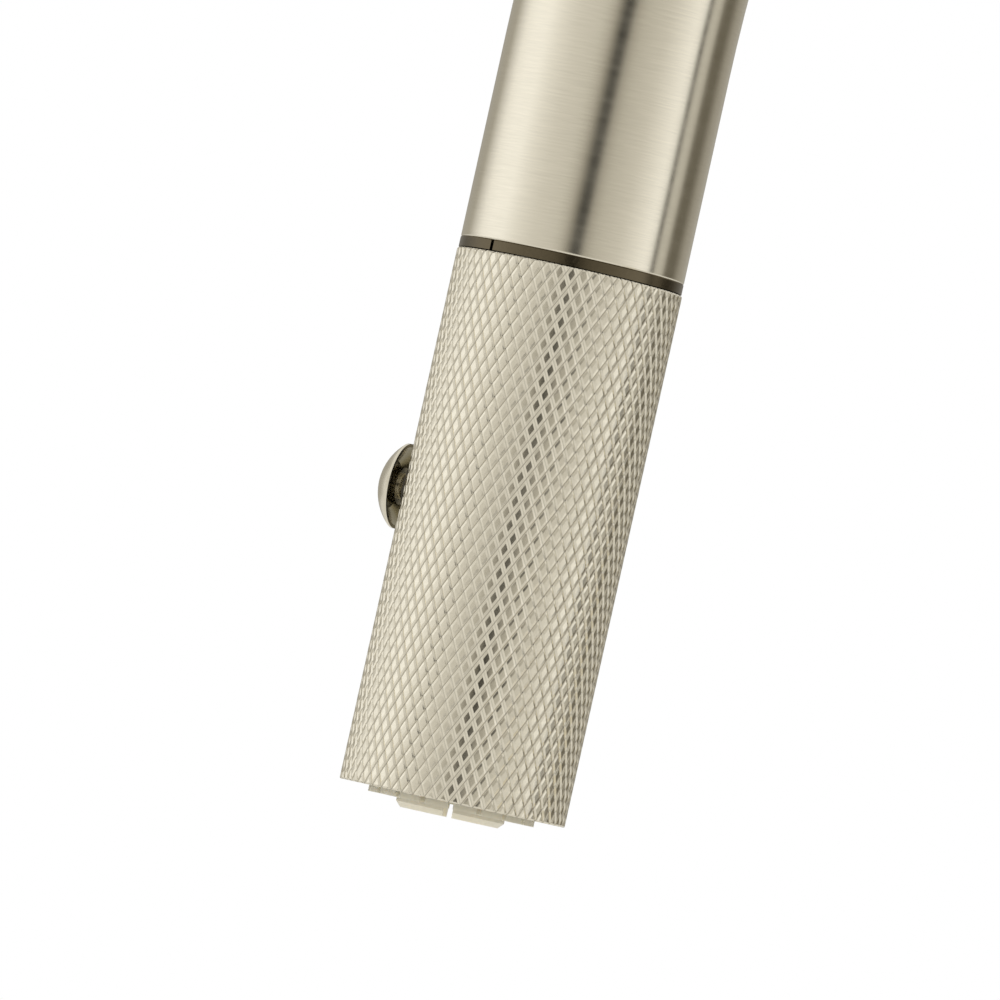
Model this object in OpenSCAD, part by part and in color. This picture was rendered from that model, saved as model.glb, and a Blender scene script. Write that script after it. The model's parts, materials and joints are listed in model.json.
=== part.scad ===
// Pull-out kitchen faucet: deck-mounted column, swivelling gooseneck, docked knurled spray wand.
// Origin on the deck at the column's axis. +Z up, -Y is the front, +X is the lever's side.

/* [Spout] */
// Outside diameter of the spout tube
tube_d = 33.7; // [33.2:0.1:34.2]
// Wall of the spout tube
tube_wall = 1.5; // [1.3:0.1:1.6]
// Centreline radius of the main bend
arch_r = 95; // [90:1:105]
// Degrees that the main bend turns, from straight up
arch_turn = 150; // [146:1:151]
// Centreline radius of the long flat bend before the outlet
sweep_r = 300; // [290:5:340]
// Lean of the wand from straight down, bottom forward, in degrees
lean = 13.3; // [11:0.1:15]
// Height above the deck where the main bend starts
bend_z = 335; // [300:5:360]
// Straight run of tube above the docking ring
end_run = 31.4; // [29:0.2:36]
// Height of the docking ring that shows below the tube
ring_h = 1.45; // [1.2:0.05:1.8]

/* [Spray wand] */
// Outside diameter over the knurling
wand_d = 34; // [33.6:0.1:34.6]
// Wall of the wand's shell
shell_wall = 2; // [1.8:0.1:2.2]
// Length of the wand's shell
wand_len = 80.3; // [80:0.1:90]
// Distance from the top of the shell to the button's axis
button_drop = 36.1; // [34:0.1:40]
// Diameter of the button's cap
button_d = 12.8; // [12.6:0.1:14]
// Height of the button's cap, rim to crown
button_h = 3.4; // [3.3:0.1:4.6]
// Gap from the knurling to the cap's rim when the button is out
button_gap = 1.3; // [1.3:0.1:1.7]
// Diameter of the slotted aerator
aerator_d = 16.3; // [15.8:0.1:16.6]
// How far the aerator stands out of the shell
aerator_proud = 2.2; // [1.8:0.1:2.8]
// How far the spray nozzles stand out of the shell
nozzle_proud = 0.9; // [0.6:0.1:1.2]
// Number of spray nozzle blocks round the aerator
nozzle_blocks = 18; // [12:1:20]

/* [Column] */
// Outside diameter of the column's shell
column_d = 44; // [43.6:0.1:46]
// Wall of the column's shell
column_wall = 2; // [1.8:0.1:2.1]
// Height of the column's top above the deck
column_h = 122; // [118:1:130]
// Diameter of the base flange
flange_d = 58; // [56:1:64]
// Height of the base flange
flange_h = 8; // [7:0.5:12]
// Thickness of the seal under the flange
seal_h = 1.5; // [1:0.1:2]
// Height of the lever's axis above the deck
lever_z = 58; // [55:1:60]

/* [Under the deck] */
// Diameter of the threaded shank
shank_d = 33; // [32.8:0.1:33.4]
// Wall of the shank
shank_wall = 1.75; // [1.6:0.05:1.9]
// How far the shank reaches below the deck
shank_drop = 62; // [62:1:75]
// Thickness of deck that the nut is set for
deck_t = 30; // [10:1:31]

/* [Handle] */
// Outside diameter of the handle's cap and side sleeve
cap_d = 33.2; // [32.8:0.1:34]
// Distance from the column's axis to the flat end of the cap
cap_end = 64; // [63.4:0.1:68]
// Diameter of the lever's rod
rod_d = 8; // [7:0.1:8.2]
// Length of the lever from its axis to its tip
lever_len = 88; // [84:1:100]
// Diameter of the lever's grip
grip_d = 11; // [10:0.2:13]
// Length of the lever's grip
grip_len = 50; // [40:1:54]

/* [Hose] */
// Outside diameter of the pull-out hose
hose_d = 10.5; // [10:0.1:10.8]
// Wall of the pull-out hose
hose_wall = 2; // [1.6:0.1:2.2]
// How far the hose reaches below the deck
hose_drop = 80; // [78:1:100]

/* [Hidden] */

$fn = 72;
// Overrun of every cut, and the clearances and edges that the pieces share
over = 1;
pin_gap = 0.03;
press_gap = 0.05;
slip_gap = 0.1;
armature_gap = 0.2;
free_gap = 0.3;
wide_gap = 0.5;
edge = 0.3;

nickel = [0.80, 0.76, 0.66];
dark_nylon = [0.28, 0.26, 0.21];
white_nylon = [0.90, 0.89, 0.85];
brass = [0.78, 0.63, 0.33];
steel = [0.70, 0.70, 0.70];
rubber = [0.13, 0.13, 0.13];
abs_nickel = [0.76, 0.73, 0.65];
ceramic = [0.93, 0.92, 0.88];
magnet = [0.30, 0.30, 0.32];
braid = [0.45, 0.45, 0.46];

// Spout tube, and where its two bends end in the YZ plane
tube_r = tube_d / 2;
bore_r = tube_r - tube_wall;
full_turn = 180 - lean;
sweep_turn = full_turn - arch_turn;
seam_gap = 0.03;
arch_end = [-arch_r * (1 - cos(arch_turn)), bend_z + arch_r * sin(arch_turn)];
run_top = arch_end + sweep_r * [cos(full_turn) - cos(arch_turn), sin(full_turn) - sin(arch_turn)];

// The wand's frame stands on the top of its shell, with +Z back up the wand's axis
ring_gap = 0.15;
ring_top = ring_gap + ring_h;
run_end = ring_top + end_run;
wand_pos = run_top + run_end * [-sin(lean), -cos(lean)];

// The hose is one arc between the column's axis and the wand's axis, with its crown level with the tube's.
// Its lead is how far its straight end then reaches past the tube's straight run.
hose_r = hose_d / 2;
hose_bore_r = hose_r - hose_wall;
hose_slope = (1 - sin(lean)) / (1 + cos(lean));
hose_descent = bend_z + arch_r - run_top[1] + run_top[0] * hose_slope;
hose_lead = hose_descent / (cos(lean) - sin(lean) * hose_slope);
hose_arc_r = -(run_top[0] + hose_lead * sin(lean)) / (1 + cos(lean));
hose_arc_z = run_top[1] + hose_lead * cos(lean) - hose_arc_r * sin(lean);
hose_top = run_end + hose_lead;

// Column, from the deck up
ledge_h = 2.5;
ledge_z = seal_h + ledge_h;
column_r = column_d / 2;
body_r = column_r - column_wall - slip_gap;
lip_h = 2.5;
socket_wall = 1.9;
socket_r = body_r - socket_wall;
socket_rise = 24;
socket_z = lever_z + socket_rise;
washer_h = 2;
tube_foot = socket_z + washer_h + slip_gap;
body_top = column_h - lip_h - 2 * slip_gap;
bushing_share = 0.32;
lower_bushing_z = socket_z + washer_h;
bushing_h = (body_top - lower_bushing_z) * bushing_share;
upper_bushing_z = body_top - bushing_h;
flange_r = flange_d / 2;
flange_rim = 3;
flange_top_r = column_r + flange_rim;
flange_side_h = 3;

// Grub screw that holds the spout down, and the slot that stops its swivel
screw_r = 2.5;
screw_tip_r = 1.8;
screw_z = (lower_bushing_z + bushing_h + upper_bushing_z) / 2;
screw_bite = 1;
screw_socket_r = 1.25;
screw_socket_depth = 2.4;
screw_recess = 0.3;
swivel_half = 60;
slot_spare = 2;
slot_half = swivel_half + asin(screw_tip_r / bore_r) + slot_spare;

// Shank, and the water ports in the plate that its end clamps into the valve body
shank_r = shank_d / 2;
shank_bore_r = shank_r - shank_wall;
shank_bite = 10;
shank_top = ledge_z + shank_bite - slip_gap;
port_r = 4;
port_ring_r = 10.4;
port_depth = 12;
inlet_angle = 50;
channel_r = hose_r + wide_gap - slip_gap;
port_z = ledge_z + shank_bite;
passage_z = port_z + port_depth;
inlet_passage_r = 1.8;
outlet_passage_r = 1.5;
inlet_passage = [7.2, 6.2];
outlet_passage_x = 7.6;
inlet_hole = [4.6, 4.2];
outlet_hole_drop = 5.2;

// Nut and washers under the deck
nut_h = 11.6;
nut_af = 45;
rubber_h = 3;
clamp_h = 2;
rubber_r = 27;
clamp_r = 26;
nut_top = -deck_t - rubber_h - clamp_h - free_gap;
clamp_screw_r = 2.5;
clamp_screw_ring = 21.3;
clamp_screw_len = 17;
clamp_ear_wall = 3;
clamp_head_r = 4.2;
clamp_head_h = 4;
slot_w = 1;
slot_depth = 1.2;
bush_flange_h = 2;
bush_len = 4.5;
bush_wall = 0.85;

// Crimped end of the hose under the deck
fitting_flange_rim = 0.4;
fitting_flange_t = 2;
fitting_plug_len = 14;
fitting_thread_r = 5;
fitting_thread_len = 12;
fitting_bore_r = 2.5;
fitting_foot = fitting_flange_t + fitting_thread_len;

// Mixing cartridge, along +X from its chamber's floor
chamber_x = 9.6;
chamber_r = 12.5;
boss_wall = 2.5;
boss_r = chamber_r + boss_wall;
boss_x = 14;
cart_x = chamber_x + slip_gap;
cart_r = chamber_r - armature_gap;
cart_base_t = 2.5;
cart_len = 24;
cart_lid_t = 2;
cart_wall = 1.7;
cart_cavity_r = cart_r - cart_wall;
cart_mouth_r = 9;
cart_end = cart_x + cart_len;
disc_t = 3.5;
fixed_disc_x = cart_x + cart_base_t + slip_gap;
moving_disc_x = fixed_disc_x + disc_t + press_gap;
moving_disc_r = 8.2;
disc_pocket_r = 6;
disc_pocket_t = 1.6;
disc_pocket_shift = 1.5;
key_r = 1.2;
key_h = 1.1;
key_ring_r = 6.2;
carrier_x = moving_disc_x + disc_t + press_gap;
carrier_t = 3.1;
carrier_pocket_t = 2.8;
ball_r = 2.4;
ball_x = carrier_x + carrier_t - carrier_pocket_t + press_gap + ball_r;
ball_arm = 6.5;
pivot_x = ball_x + ball_arm;
lift_turn = 18;
disc_travel = ball_arm * sin(lift_turn);
disc_rest = -disc_travel / 2;
spindle_gap = 0.6;
spindle_x = carrier_x + carrier_t + spindle_gap;
spindle_r = cart_cavity_r - armature_gap;
spindle_wide_end = cart_end - cart_lid_t - slip_gap;
spindle_neck_r = cart_mouth_r - 2 * armature_gap;
pin_r = 1.5;
pin_half = 9.8;
stem_r = 2.8;
stem_neck_r = 1.7;
stem_boss_r = 3.4;
stem_slot_half = stem_r + armature_gap;
ball_slot_high = 5;
nut_in_r = cart_mouth_r + slip_gap;
cart_nut_h = 4.4;
boss_end = cart_end + slip_gap + cart_nut_h;

// Handle's cap, and what swings in it
cap_r = cap_d / 2;
cap_wall = 1.8;
cap_seam = 0.9;
cap_x = boss_end + cap_seam;
cap_floor_t = 2.5;
cap_cavity_x = cap_x + cap_floor_t;
cap_face_t = 2;
hub_gap = 4.1;
hub_x = cap_cavity_x + hub_gap;
hub_len = 6.5;
hub_r = 5.5;
rod_x = hub_x + hub_len / 2;
rod_r = rod_d / 2;
rod_thread_r = 2.5;
hub_screw_r = 1.5;
hub_key_r = 0.75;
hub_key_depth = 1.4;
key_hole_r = 1.8;
grip_r = grip_d / 2;
tip_h = 3;
tip_stud_r = 1.5;
tip_stud_h = 6;
collar_h = 2.5;
collar_wall = 1;
grip_end = lever_len - tip_h;
grip_start = grip_end - grip_len;
slot_low = (cap_cavity_x - pivot_x) * tan(lift_turn) + stem_r / cos(lift_turn) + slip_gap;
rod_reach = (rod_x - pivot_x) * cos(lift_turn)
    + (cap_r + (rod_x - pivot_x) * sin(lift_turn)) * tan(lift_turn) + rod_r / cos(lift_turn);

// Wand's shell, core and inlet
wand_r = wand_d / 2;
shell_in_r = wand_r - shell_wall;
core_r = shell_in_r - slip_gap;
armature_t = 2.3;
core_top = -armature_gap - armature_t - slip_gap;
core_rise = 15;
core_base = -wand_len + core_rise;
skirt_wall = 0.95;
skirt_lap = 5;
spigot_r = 10.4;
spigot_top = 10;
valve_len = 9;
valve_r = 5.4;
valve_bore_r = 3;
inlet_top_r = valve_r + slip_gap;
inlet_low = spigot_top - 2 * slip_gap - valve_len;
nut_thread_r = spigot_r + press_gap;
neck_r = 12;
neck_shoulder = 17;
neck_top = 27;
neck_tip_r = 8.5;
ferrule_flange_r = 9;
ferrule_flange_t = 3.4;
ferrule_r = 7;
ferrule_len = 22;
ferrule_stop = 6;
hose_seal_t = 2;
ferrule_base = spigot_top + hose_seal_t + slip_gap;
nut_cavity_top = ferrule_base + ferrule_flange_t + slip_gap;

// Dock inside the end of the spout
dock_r = neck_r + wide_gap;
dock_wall = 1;
collar_depth = 7.5;
dock_out_r = bore_r - press_gap;
magnet_h = 4;
magnet_base = ring_top + free_gap;
sleeve_base = ring_top + collar_depth + armature_gap;
sleeve_short = 3;
sleeve_top = run_end - sleeve_short;
sleeve_cone = neck_shoulder + free_gap;
slit_w = 0.6;
slit_angle = -25;

// Button and diverter spool, measured outward from the wand's axis
button_travel = button_gap - slip_gap;
diverter_r = 5;
diverter_back = 8;
diverter_seat = 0.2;
diverter_seat_r = 3;
guide_r = diverter_r - press_gap;
guide_in = 5.9;
guide_out = wand_r - free_gap - slip_gap;
guide_neck = 13.6;
guide_groove_r = 3.05;
guide_groove_w = 1.2;
guide_groove_q = 15;
shell_hole_r = diverter_r + armature_gap;
button_stem_r = 2;
cap_rim = wand_r + button_gap;
cap_band_h = 0.4;
cap_steps = 14;
cap_side_wall = 0.5;
cap_hollow_r = button_d / 2 - cap_side_wall;
cap_hollow_step = 0.3;
cap_hollow_h = 1.9;
cap_hollow_top_r = 3.6;
cap_boss_r = 2.8;
cap_boss_start = 0.2;
stem_seat_h = 2;
land_r = 4.4;
land_waist_r = 2.6;
land_h = 0.9;
spool_seal_t = 0.8;
spool_front = guide_in - press_gap;
spool_back = diverter_seat + press_gap + button_travel;
spool_stub = 2.35;
spring_pin_r = 1.2;
spring_pin_len = 2;
spring_r = 2;
spring_wire_r = 0.35;
guide_wire_r = 0.5;
inlet_q = 3.05;
inlet_low_r = 2.4;
stream_r = 2.8;
stream_q = -3.5;
spray_r = 1.8;
spray_q = 11.6;

// Spray face
aerator_r = aerator_d / 2;
aerator_wall = 1.9;
aerator_ledge = 0.85;
aerator_turn = 18;
aerator_slot_w = 1.4;
aerator_slot_rest = 0.2;
aerator_corner = 0.8;
aerator_drop = 2;
aerator_top = core_base - aerator_drop;
aerator_groove_wall = 1.45;
aerator_groove_h = 1.7;
aerator_groove_z = aerator_top - 3;
aerator_wire_r = 0.72;
socket_in_r = aerator_r + slip_gap;
socket_shell = 1.3;
socket_out_r = socket_in_r + socket_shell;
face_inset = 0.8;
face_t = 2.4;
face_hole_gap = 0.25;
face_hole_r = aerator_r + face_hole_gap;
face_base = -wand_len + face_inset;
face_top = face_base + face_t;
nozzle_out_r = 12.5;
nozzle_in_r = 10;
nozzle_gap_turn = 4;
nozzle_window_turn = 0.6;
nozzle_pad_t = 1.4;
nozzle_pad_rim = 0.15;
nozzle_pad_lip = 0.55;
nozzle_hole_r = 0.45;
screen_t = 0.6;
screen_hole_r = 0.42;
screen_pitch = 1.35;
screen_rings = 4;

// A flat ring, and a tube standing on the origin
module ring(outer_r, inner_r) {
    difference() {
        circle(outer_r);
        circle(inner_r);
    }
}

module tube(outer_r, inner_r, h) {
    difference() {
        cylinder(r = outer_r, h = h);
        translate([0, 0, -over]) cylinder(r = inner_r, h = h + 2 * over);
    }
}

// A ring of round wire lying flat round the Z axis
module wire_ring(ring_r, wire_r) {
    rotate_extrude() translate([ring_r, 0]) circle(wire_r, $fn = 24);
}

// A bend that starts at the origin going up and turns towards -Y
module bend(r, turn) {
    translate([0, -r, 0]) rotate([90, 0, 90]) rotate_extrude(angle = turn) translate([r, 0]) children();
}

// The wand's frame, the button's frame on it, and the frame of the cartridge at a given X
module at_wand() {
    translate([0, wand_pos[0], wand_pos[1]]) rotate([-lean, 0, 0]) children();
}

module at_button() {
    at_wand() translate([0, 0, -button_drop]) rotate([90, 0, 0]) children();
}

module at_lever_axis(x) {
    translate([x, 0, lever_z]) rotate([0, 90, 0]) children();
}

module base_seal() {
    color(rubber) tube(flange_r - edge, shank_r + wide_gap, seal_h);
}

module base_flange() {
    top = seal_h + flange_h;
    profile = [
        [shank_r + wide_gap, seal_h], [flange_r, seal_h], [flange_r, seal_h + flange_side_h],
        [flange_top_r, top - edge], [flange_top_r - edge, top], [column_r + slip_gap, top],
        [column_r + slip_gap, ledge_z], [shank_r + wide_gap, ledge_z]
    ];
    color(nickel) rotate_extrude() polygon(profile);
}

module column_shell() {
    color(nickel) difference() {
        union() {
            translate([0, 0, ledge_z]) cylinder(r = column_r, h = column_h - ledge_z - edge);
            translate([0, 0, column_h - edge]) cylinder(r1 = column_r, r2 = column_r - edge, h = edge);
        }
        translate([0, 0, ledge_z - over])
            cylinder(r = column_r - column_wall, h = column_h - lip_h - ledge_z + over);
        cylinder(r = tube_r + free_gap, h = column_h + over);
        at_lever_axis(0) cylinder(r = boss_r + slip_gap, h = column_r + over);
        at_screw() cylinder(r = screw_r + press_gap, h = column_r + over);
    }
}

// The grub screw's axis runs out of the back of the column
module at_screw() {
    translate([0, 0, screw_z]) rotate([-90, 0, 0]) children();
}

// Places for the ports, at their angles round the column's axis
module at_port(angle) {
    rotate([0, 0, angle]) translate([port_ring_r, 0, 0]) children();
}

module valve_body() {
    inlet_top = lever_z + inlet_hole[1];
    outlet_top = lever_z - outlet_hole_drop;
    color(brass) difference() {
        translate([0, 0, ledge_z]) cylinder(r = body_r, h = body_top - ledge_z);
        translate([0, 0, ledge_z - over]) cylinder(r = shank_r + press_gap, h = passage_z - ledge_z + over);
        translate([0, 0, ledge_z]) cylinder(r = channel_r, h = socket_z - ledge_z + over);
        translate([0, 0, socket_z]) cylinder(r = socket_r, h = body_top - socket_z + over);
        at_lever_axis(chamber_x) cylinder(r = chamber_r, h = body_r);
        at_lever_axis(boss_x) cylinder(r = boss_r + press_gap, h = body_r);
        at_screw() cylinder(r = screw_r + press_gap, h = column_r);
        for (side = [-1, 1]) {
            translate([inlet_passage[0], side * inlet_passage[1], passage_z - over])
                cylinder(r = inlet_passage_r, h = inlet_top - passage_z + over);
            translate([inlet_passage[0], side * inlet_hole[0], inlet_top]) rotate([0, 90, 0])
                cylinder(r = inlet_passage_r, h = chamber_x - inlet_passage[0] + over);
        }
        translate([outlet_passage_x, 0, passage_z - over])
            cylinder(r = outlet_passage_r, h = outlet_top - passage_z + over);
        translate([outlet_passage_x, 0, outlet_top]) rotate([0, 90, 0])
            cylinder(r = outlet_passage_r, h = chamber_x - outlet_passage_x + over);
    }
}

// The shank's end clamps this plate into the body, and the three hoses screw up into it
module port_plate() {
    color(brass) difference() {
        translate([0, 0, port_z]) tube(shank_r, channel_r, port_depth);
        for (angle = [-inlet_angle, 0, inlet_angle]) {
            at_port(angle) translate([0, 0, port_z - over]) cylinder(r = port_r, h = port_depth + 2 * over);
        }
    }
}

module cartridge_sleeve() {
    start = boss_x + slip_gap;
    color(brass) at_lever_axis(start) tube(boss_r, chamber_r, boss_end - start);
}

module side_sleeve() {
    color(nickel) difference() {
        at_lever_axis(0) tube(cap_r, boss_r + slip_gap, boss_end + free_gap);
        cylinder(r = column_r + press_gap, h = column_h);
    }
}

module thrust_washer() {
    color(white_nylon) translate([0, 0, socket_z])
        tube(socket_r - press_gap, hose_r + free_gap, washer_h);
}

module bushing(z) {
    color(white_nylon) translate([0, 0, z]) tube(socket_r - press_gap, tube_r + slip_gap, bushing_h);
}

module lower_bushing() {
    bushing(lower_bushing_z);
}

module upper_bushing() {
    bushing(upper_bushing_z);
}

module spout_screw() {
    shoulder = tube_r + slip_gap;
    tip = tube_r - screw_bite;
    head = column_r - screw_recess;
    color(steel) at_screw() difference() {
        union() {
            translate([0, 0, shoulder]) cylinder(r = screw_r, h = head - shoulder);
            translate([0, 0, tip]) cylinder(r = screw_tip_r, h = shoulder - tip + over);
        }
        translate([0, 0, head - screw_socket_depth])
            cylinder(r = screw_socket_r, h = screw_socket_depth + over, $fn = 6);
    }
}

module shank() {
    color(brass) translate([0, 0, -shank_drop]) tube(shank_r, shank_bore_r, shank_drop + shank_top);
}

module rubber_washer() {
    color(rubber) translate([0, 0, -deck_t - rubber_h]) tube(rubber_r, shank_r + free_gap, rubber_h);
}

module clamp_washer() {
    color(steel) translate([0, 0, -deck_t - rubber_h - clamp_h])
        tube(clamp_r, shank_r + free_gap, clamp_h);
}

// Both clamp screws stand at the nut's two corners on the X axis
module at_clamp_screws() {
    for (side = [-1, 1]) {
        translate([side * clamp_screw_ring, 0, 0]) children();
    }
}

module shank_nut() {
    color(brass) translate([0, 0, nut_top - nut_h]) difference() {
        union() {
            cylinder(d = nut_af / cos(30), h = nut_h, $fn = 6);
            at_clamp_screws() cylinder(r = clamp_screw_r + clamp_ear_wall, h = nut_h);
        }
        translate([0, 0, -over]) cylinder(r = shank_r + press_gap, h = nut_h + 2 * over);
        at_clamp_screws() translate([0, 0, -over])
            cylinder(r = clamp_screw_r + press_gap, h = nut_h + 2 * over);
    }
}

module clamp_screws() {
    color(steel) at_clamp_screws() translate([0, 0, nut_top + free_gap - clamp_screw_len]) {
        cylinder(r = clamp_screw_r, h = clamp_screw_len);
        translate([0, 0, -clamp_head_h]) difference() {
            cylinder(r = clamp_head_r, h = clamp_head_h);
            translate([-clamp_head_r - over, -slot_w / 2, -over])
                cube([2 * (clamp_head_r + over), slot_w, slot_depth + over]);
        }
    }
}

module shank_bush() {
    skirt_r = shank_r + press_gap;
    color(dark_nylon) translate([0, 0, -shank_drop]) {
        tube(skirt_r + bush_wall, skirt_r, bush_len);
        translate([0, 0, -bush_flange_h]) tube(skirt_r + bush_wall, shank_bore_r, bush_flange_h);
    }
}

// The three water holes that the cartridge's base and its fixed disc share
module water_holes(h) {
    for (side = [-1, 1]) {
        translate([-inlet_hole[1], side * inlet_hole[0], -over])
            cylinder(r = inlet_passage_r, h = h + 2 * over);
    }
    translate([outlet_hole_drop, 0, -over]) cylinder(r = outlet_passage_r, h = h + 2 * over);
}

module cartridge_base() {
    color(white_nylon) at_lever_axis(cart_x) difference() {
        cylinder(r = cart_r, h = cart_base_t);
        water_holes(cart_base_t);
    }
}

module cartridge_housing() {
    cup_h = cart_len - cart_base_t;
    color(white_nylon) at_lever_axis(cart_x + cart_base_t) difference() {
        cylinder(r = cart_r, h = cup_h);
        translate([0, 0, -over]) cylinder(r = cart_cavity_r, h = cup_h - cart_lid_t + over);
        cylinder(r = cart_mouth_r, h = cup_h + over);
    }
}

module fixed_disc() {
    color(ceramic) at_lever_axis(fixed_disc_x) difference() {
        cylinder(r = cart_cavity_r - slip_gap, h = disc_t);
        water_holes(disc_t);
    }
}

module cartridge_nut() {
    color(brass) at_lever_axis(cart_end + slip_gap) tube(chamber_r - press_gap, nut_in_r, cart_nut_h);
}

// The spout is drawn in two lengths, joined by a brazed butt seam at the end of the main bend
module spout_tube() {
    slot_h = 2 * (screw_tip_r + slip_gap);
    color(nickel) difference() {
        union() {
            translate([0, 0, tube_foot]) tube(tube_r, bore_r, bend_z - tube_foot);
            translate([0, 0, bend_z]) bend(arch_r, arch_turn) ring(tube_r, bore_r);
        }
        translate([0, 0, screw_z - slot_h / 2]) rotate([0, 0, 90 - slot_half])
            rotate_extrude(angle = 2 * slot_half)
                translate([tube_r - screw_bite - slip_gap, 0]) square([screw_bite + over, slot_h]);
    }
}

module spout_outlet() {
    seam_turn = seam_gap / sweep_r * 180 / PI;
    color(nickel) at_wand() {
        translate([0, 0, ring_top]) tube(tube_r, bore_r, end_run);
        translate([0, 0, run_end]) rotate([0, 0, 180])
            bend(sweep_r, sweep_turn - seam_turn) ring(tube_r, bore_r);
    }
}

module dock_ring() {
    color(dark_nylon) at_wand() difference() {
        union() {
            translate([0, 0, ring_gap]) cylinder(r = tube_r, h = ring_h);
            translate([0, 0, ring_top]) cylinder(r = dock_out_r, h = collar_depth);
        }
        translate([0, 0, ring_gap - over]) cylinder(r = dock_r, h = ring_h + 2 * over);
        translate([0, 0, ring_top]) cylinder(r = dock_out_r - dock_wall, h = collar_depth + over);
        rotate([0, 0, slit_angle]) translate([0, -slit_w / 2, ring_gap - over])
            cube([tube_r + over, slit_w, ring_h + collar_depth + 2 * over]);
    }
}

module dock_magnet() {
    color(magnet) at_wand() translate([0, 0, magnet_base])
        tube(dock_out_r - dock_wall - slip_gap, dock_r + slip_gap, magnet_h);
}

module dock_sleeve() {
    tip_r = neck_tip_r + wide_gap;
    color(white_nylon) at_wand() difference() {
        translate([0, 0, sleeve_base]) cylinder(r = dock_out_r, h = sleeve_top - sleeve_base);
        translate([0, 0, sleeve_base - over]) cylinder(r = dock_r, h = sleeve_cone - sleeve_base + over);
        translate([0, 0, sleeve_cone]) cylinder(r1 = dock_r, r2 = tip_r, h = neck_top - neck_shoulder);
        translate([0, 0, sleeve_base]) cylinder(r = tip_r, h = sleeve_top - sleeve_base + over);
    }
}

module hose_arch() {
    color(braid) {
        translate([0, 0, -hose_drop]) tube(hose_r, hose_bore_r, hose_arc_z + hose_drop);
        translate([0, 0, hose_arc_z]) bend(hose_arc_r, full_turn) ring(hose_r, hose_bore_r);
    }
}

module hose_inlet_fitting() {
    color(brass) translate([0, 0, -hose_drop]) difference() {
        union() {
            translate([0, 0, -fitting_flange_t])
                cylinder(r = hose_bore_r - press_gap, h = fitting_plug_len + fitting_flange_t);
            translate([0, 0, -fitting_flange_t])
                cylinder(r = hose_r + fitting_flange_rim, h = fitting_flange_t);
            translate([0, 0, -fitting_foot]) cylinder(r = fitting_thread_r, h = fitting_foot);
        }
        translate([0, 0, -fitting_foot - over])
            cylinder(r = fitting_bore_r, h = fitting_plug_len + fitting_foot + 2 * over);
    }
}

module hose_end_run() {
    foot = ferrule_base + ferrule_stop;
    color(braid) at_wand() translate([0, 0, foot]) tube(hose_r, hose_bore_r, hose_top - foot);
}

module hose_ferrule() {
    color(steel) at_wand() translate([0, 0, ferrule_base]) difference() {
        union() {
            cylinder(r = ferrule_flange_r, h = ferrule_flange_t);
            cylinder(r = ferrule_r, h = ferrule_len);
        }
        translate([0, 0, -over]) cylinder(r = hose_bore_r, h = ferrule_stop + 2 * over);
        translate([0, 0, ferrule_stop]) cylinder(r = hose_r + press_gap, h = ferrule_len);
    }
}

module hose_nut() {
    color(nickel) at_wand() difference() {
        union() {
            translate([0, 0, -armature_gap]) cylinder(r = neck_r, h = neck_shoulder + armature_gap);
            translate([0, 0, neck_shoulder])
                cylinder(r1 = neck_r, r2 = neck_tip_r, h = neck_top - neck_shoulder);
        }
        translate([0, 0, -armature_gap - over])
            cylinder(r = nut_thread_r, h = nut_cavity_top + armature_gap + over);
        cylinder(r = ferrule_r + slip_gap, h = neck_top + over);
    }
}

module hose_seal() {
    color(rubber) at_wand() translate([0, 0, spigot_top + press_gap])
        tube(ferrule_flange_r, inlet_top_r + press_gap, hose_seal_t);
}

module check_valve() {
    color(white_nylon) at_wand() translate([0, 0, inlet_low + slip_gap])
        tube(valve_r, valve_bore_r, valve_len);
}

module wand_armature() {
    color(steel) at_wand() translate([0, 0, -armature_gap - armature_t])
        tube(core_r, spigot_r + slip_gap, armature_t);
}

module wand_shell() {
    profile = [
        [shell_in_r, 0], [wand_r - edge, 0], [wand_r, -edge], [wand_r, -wand_len + edge],
        [wand_r - edge, -wand_len], [shell_in_r, -wand_len]
    ];
    color(nickel) difference() {
        at_wand() rotate_extrude() polygon(profile);
        at_button() cylinder(r = shell_hole_r, h = wand_r + over);
    }
}

module wand_core() {
    socket_foot = face_top + nozzle_pad_t + press_gap;
    low_r = core_r - skirt_wall - press_gap;
    color(abs_nickel) difference() {
        at_wand() {
            translate([0, 0, core_base + skirt_lap])
                cylinder(r = core_r, h = core_top - core_base - skirt_lap);
            translate([0, 0, core_base]) cylinder(r = low_r, h = skirt_lap + over);
            translate([0, 0, core_top - over]) cylinder(r = spigot_r, h = spigot_top - core_top + over);
            translate([0, 0, socket_foot]) cylinder(r = socket_out_r, h = core_base - socket_foot + over);
        }
        at_wand() {
            translate([0, 0, inlet_low]) cylinder(r = inlet_top_r, h = valve_len + over);
            translate([0, -inlet_q, -button_drop])
                cylinder(r = inlet_low_r, h = button_drop + inlet_low + over);
            translate([0, -stream_q, core_base - over])
                cylinder(r = stream_r, h = -button_drop - core_base + over);
            translate([0, -spray_q, core_base - over])
                cylinder(r = spray_r, h = -button_drop - core_base + over);
            translate([0, 0, socket_foot - over])
                cylinder(r = socket_in_r, h = core_base - socket_foot + over);
        }
        at_button() translate([0, 0, -diverter_back])
            cylinder(r = diverter_seat_r, h = diverter_back + over);
        at_button() translate([0, 0, diverter_seat]) cylinder(r = diverter_r, h = wand_r);
    }
}

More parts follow.
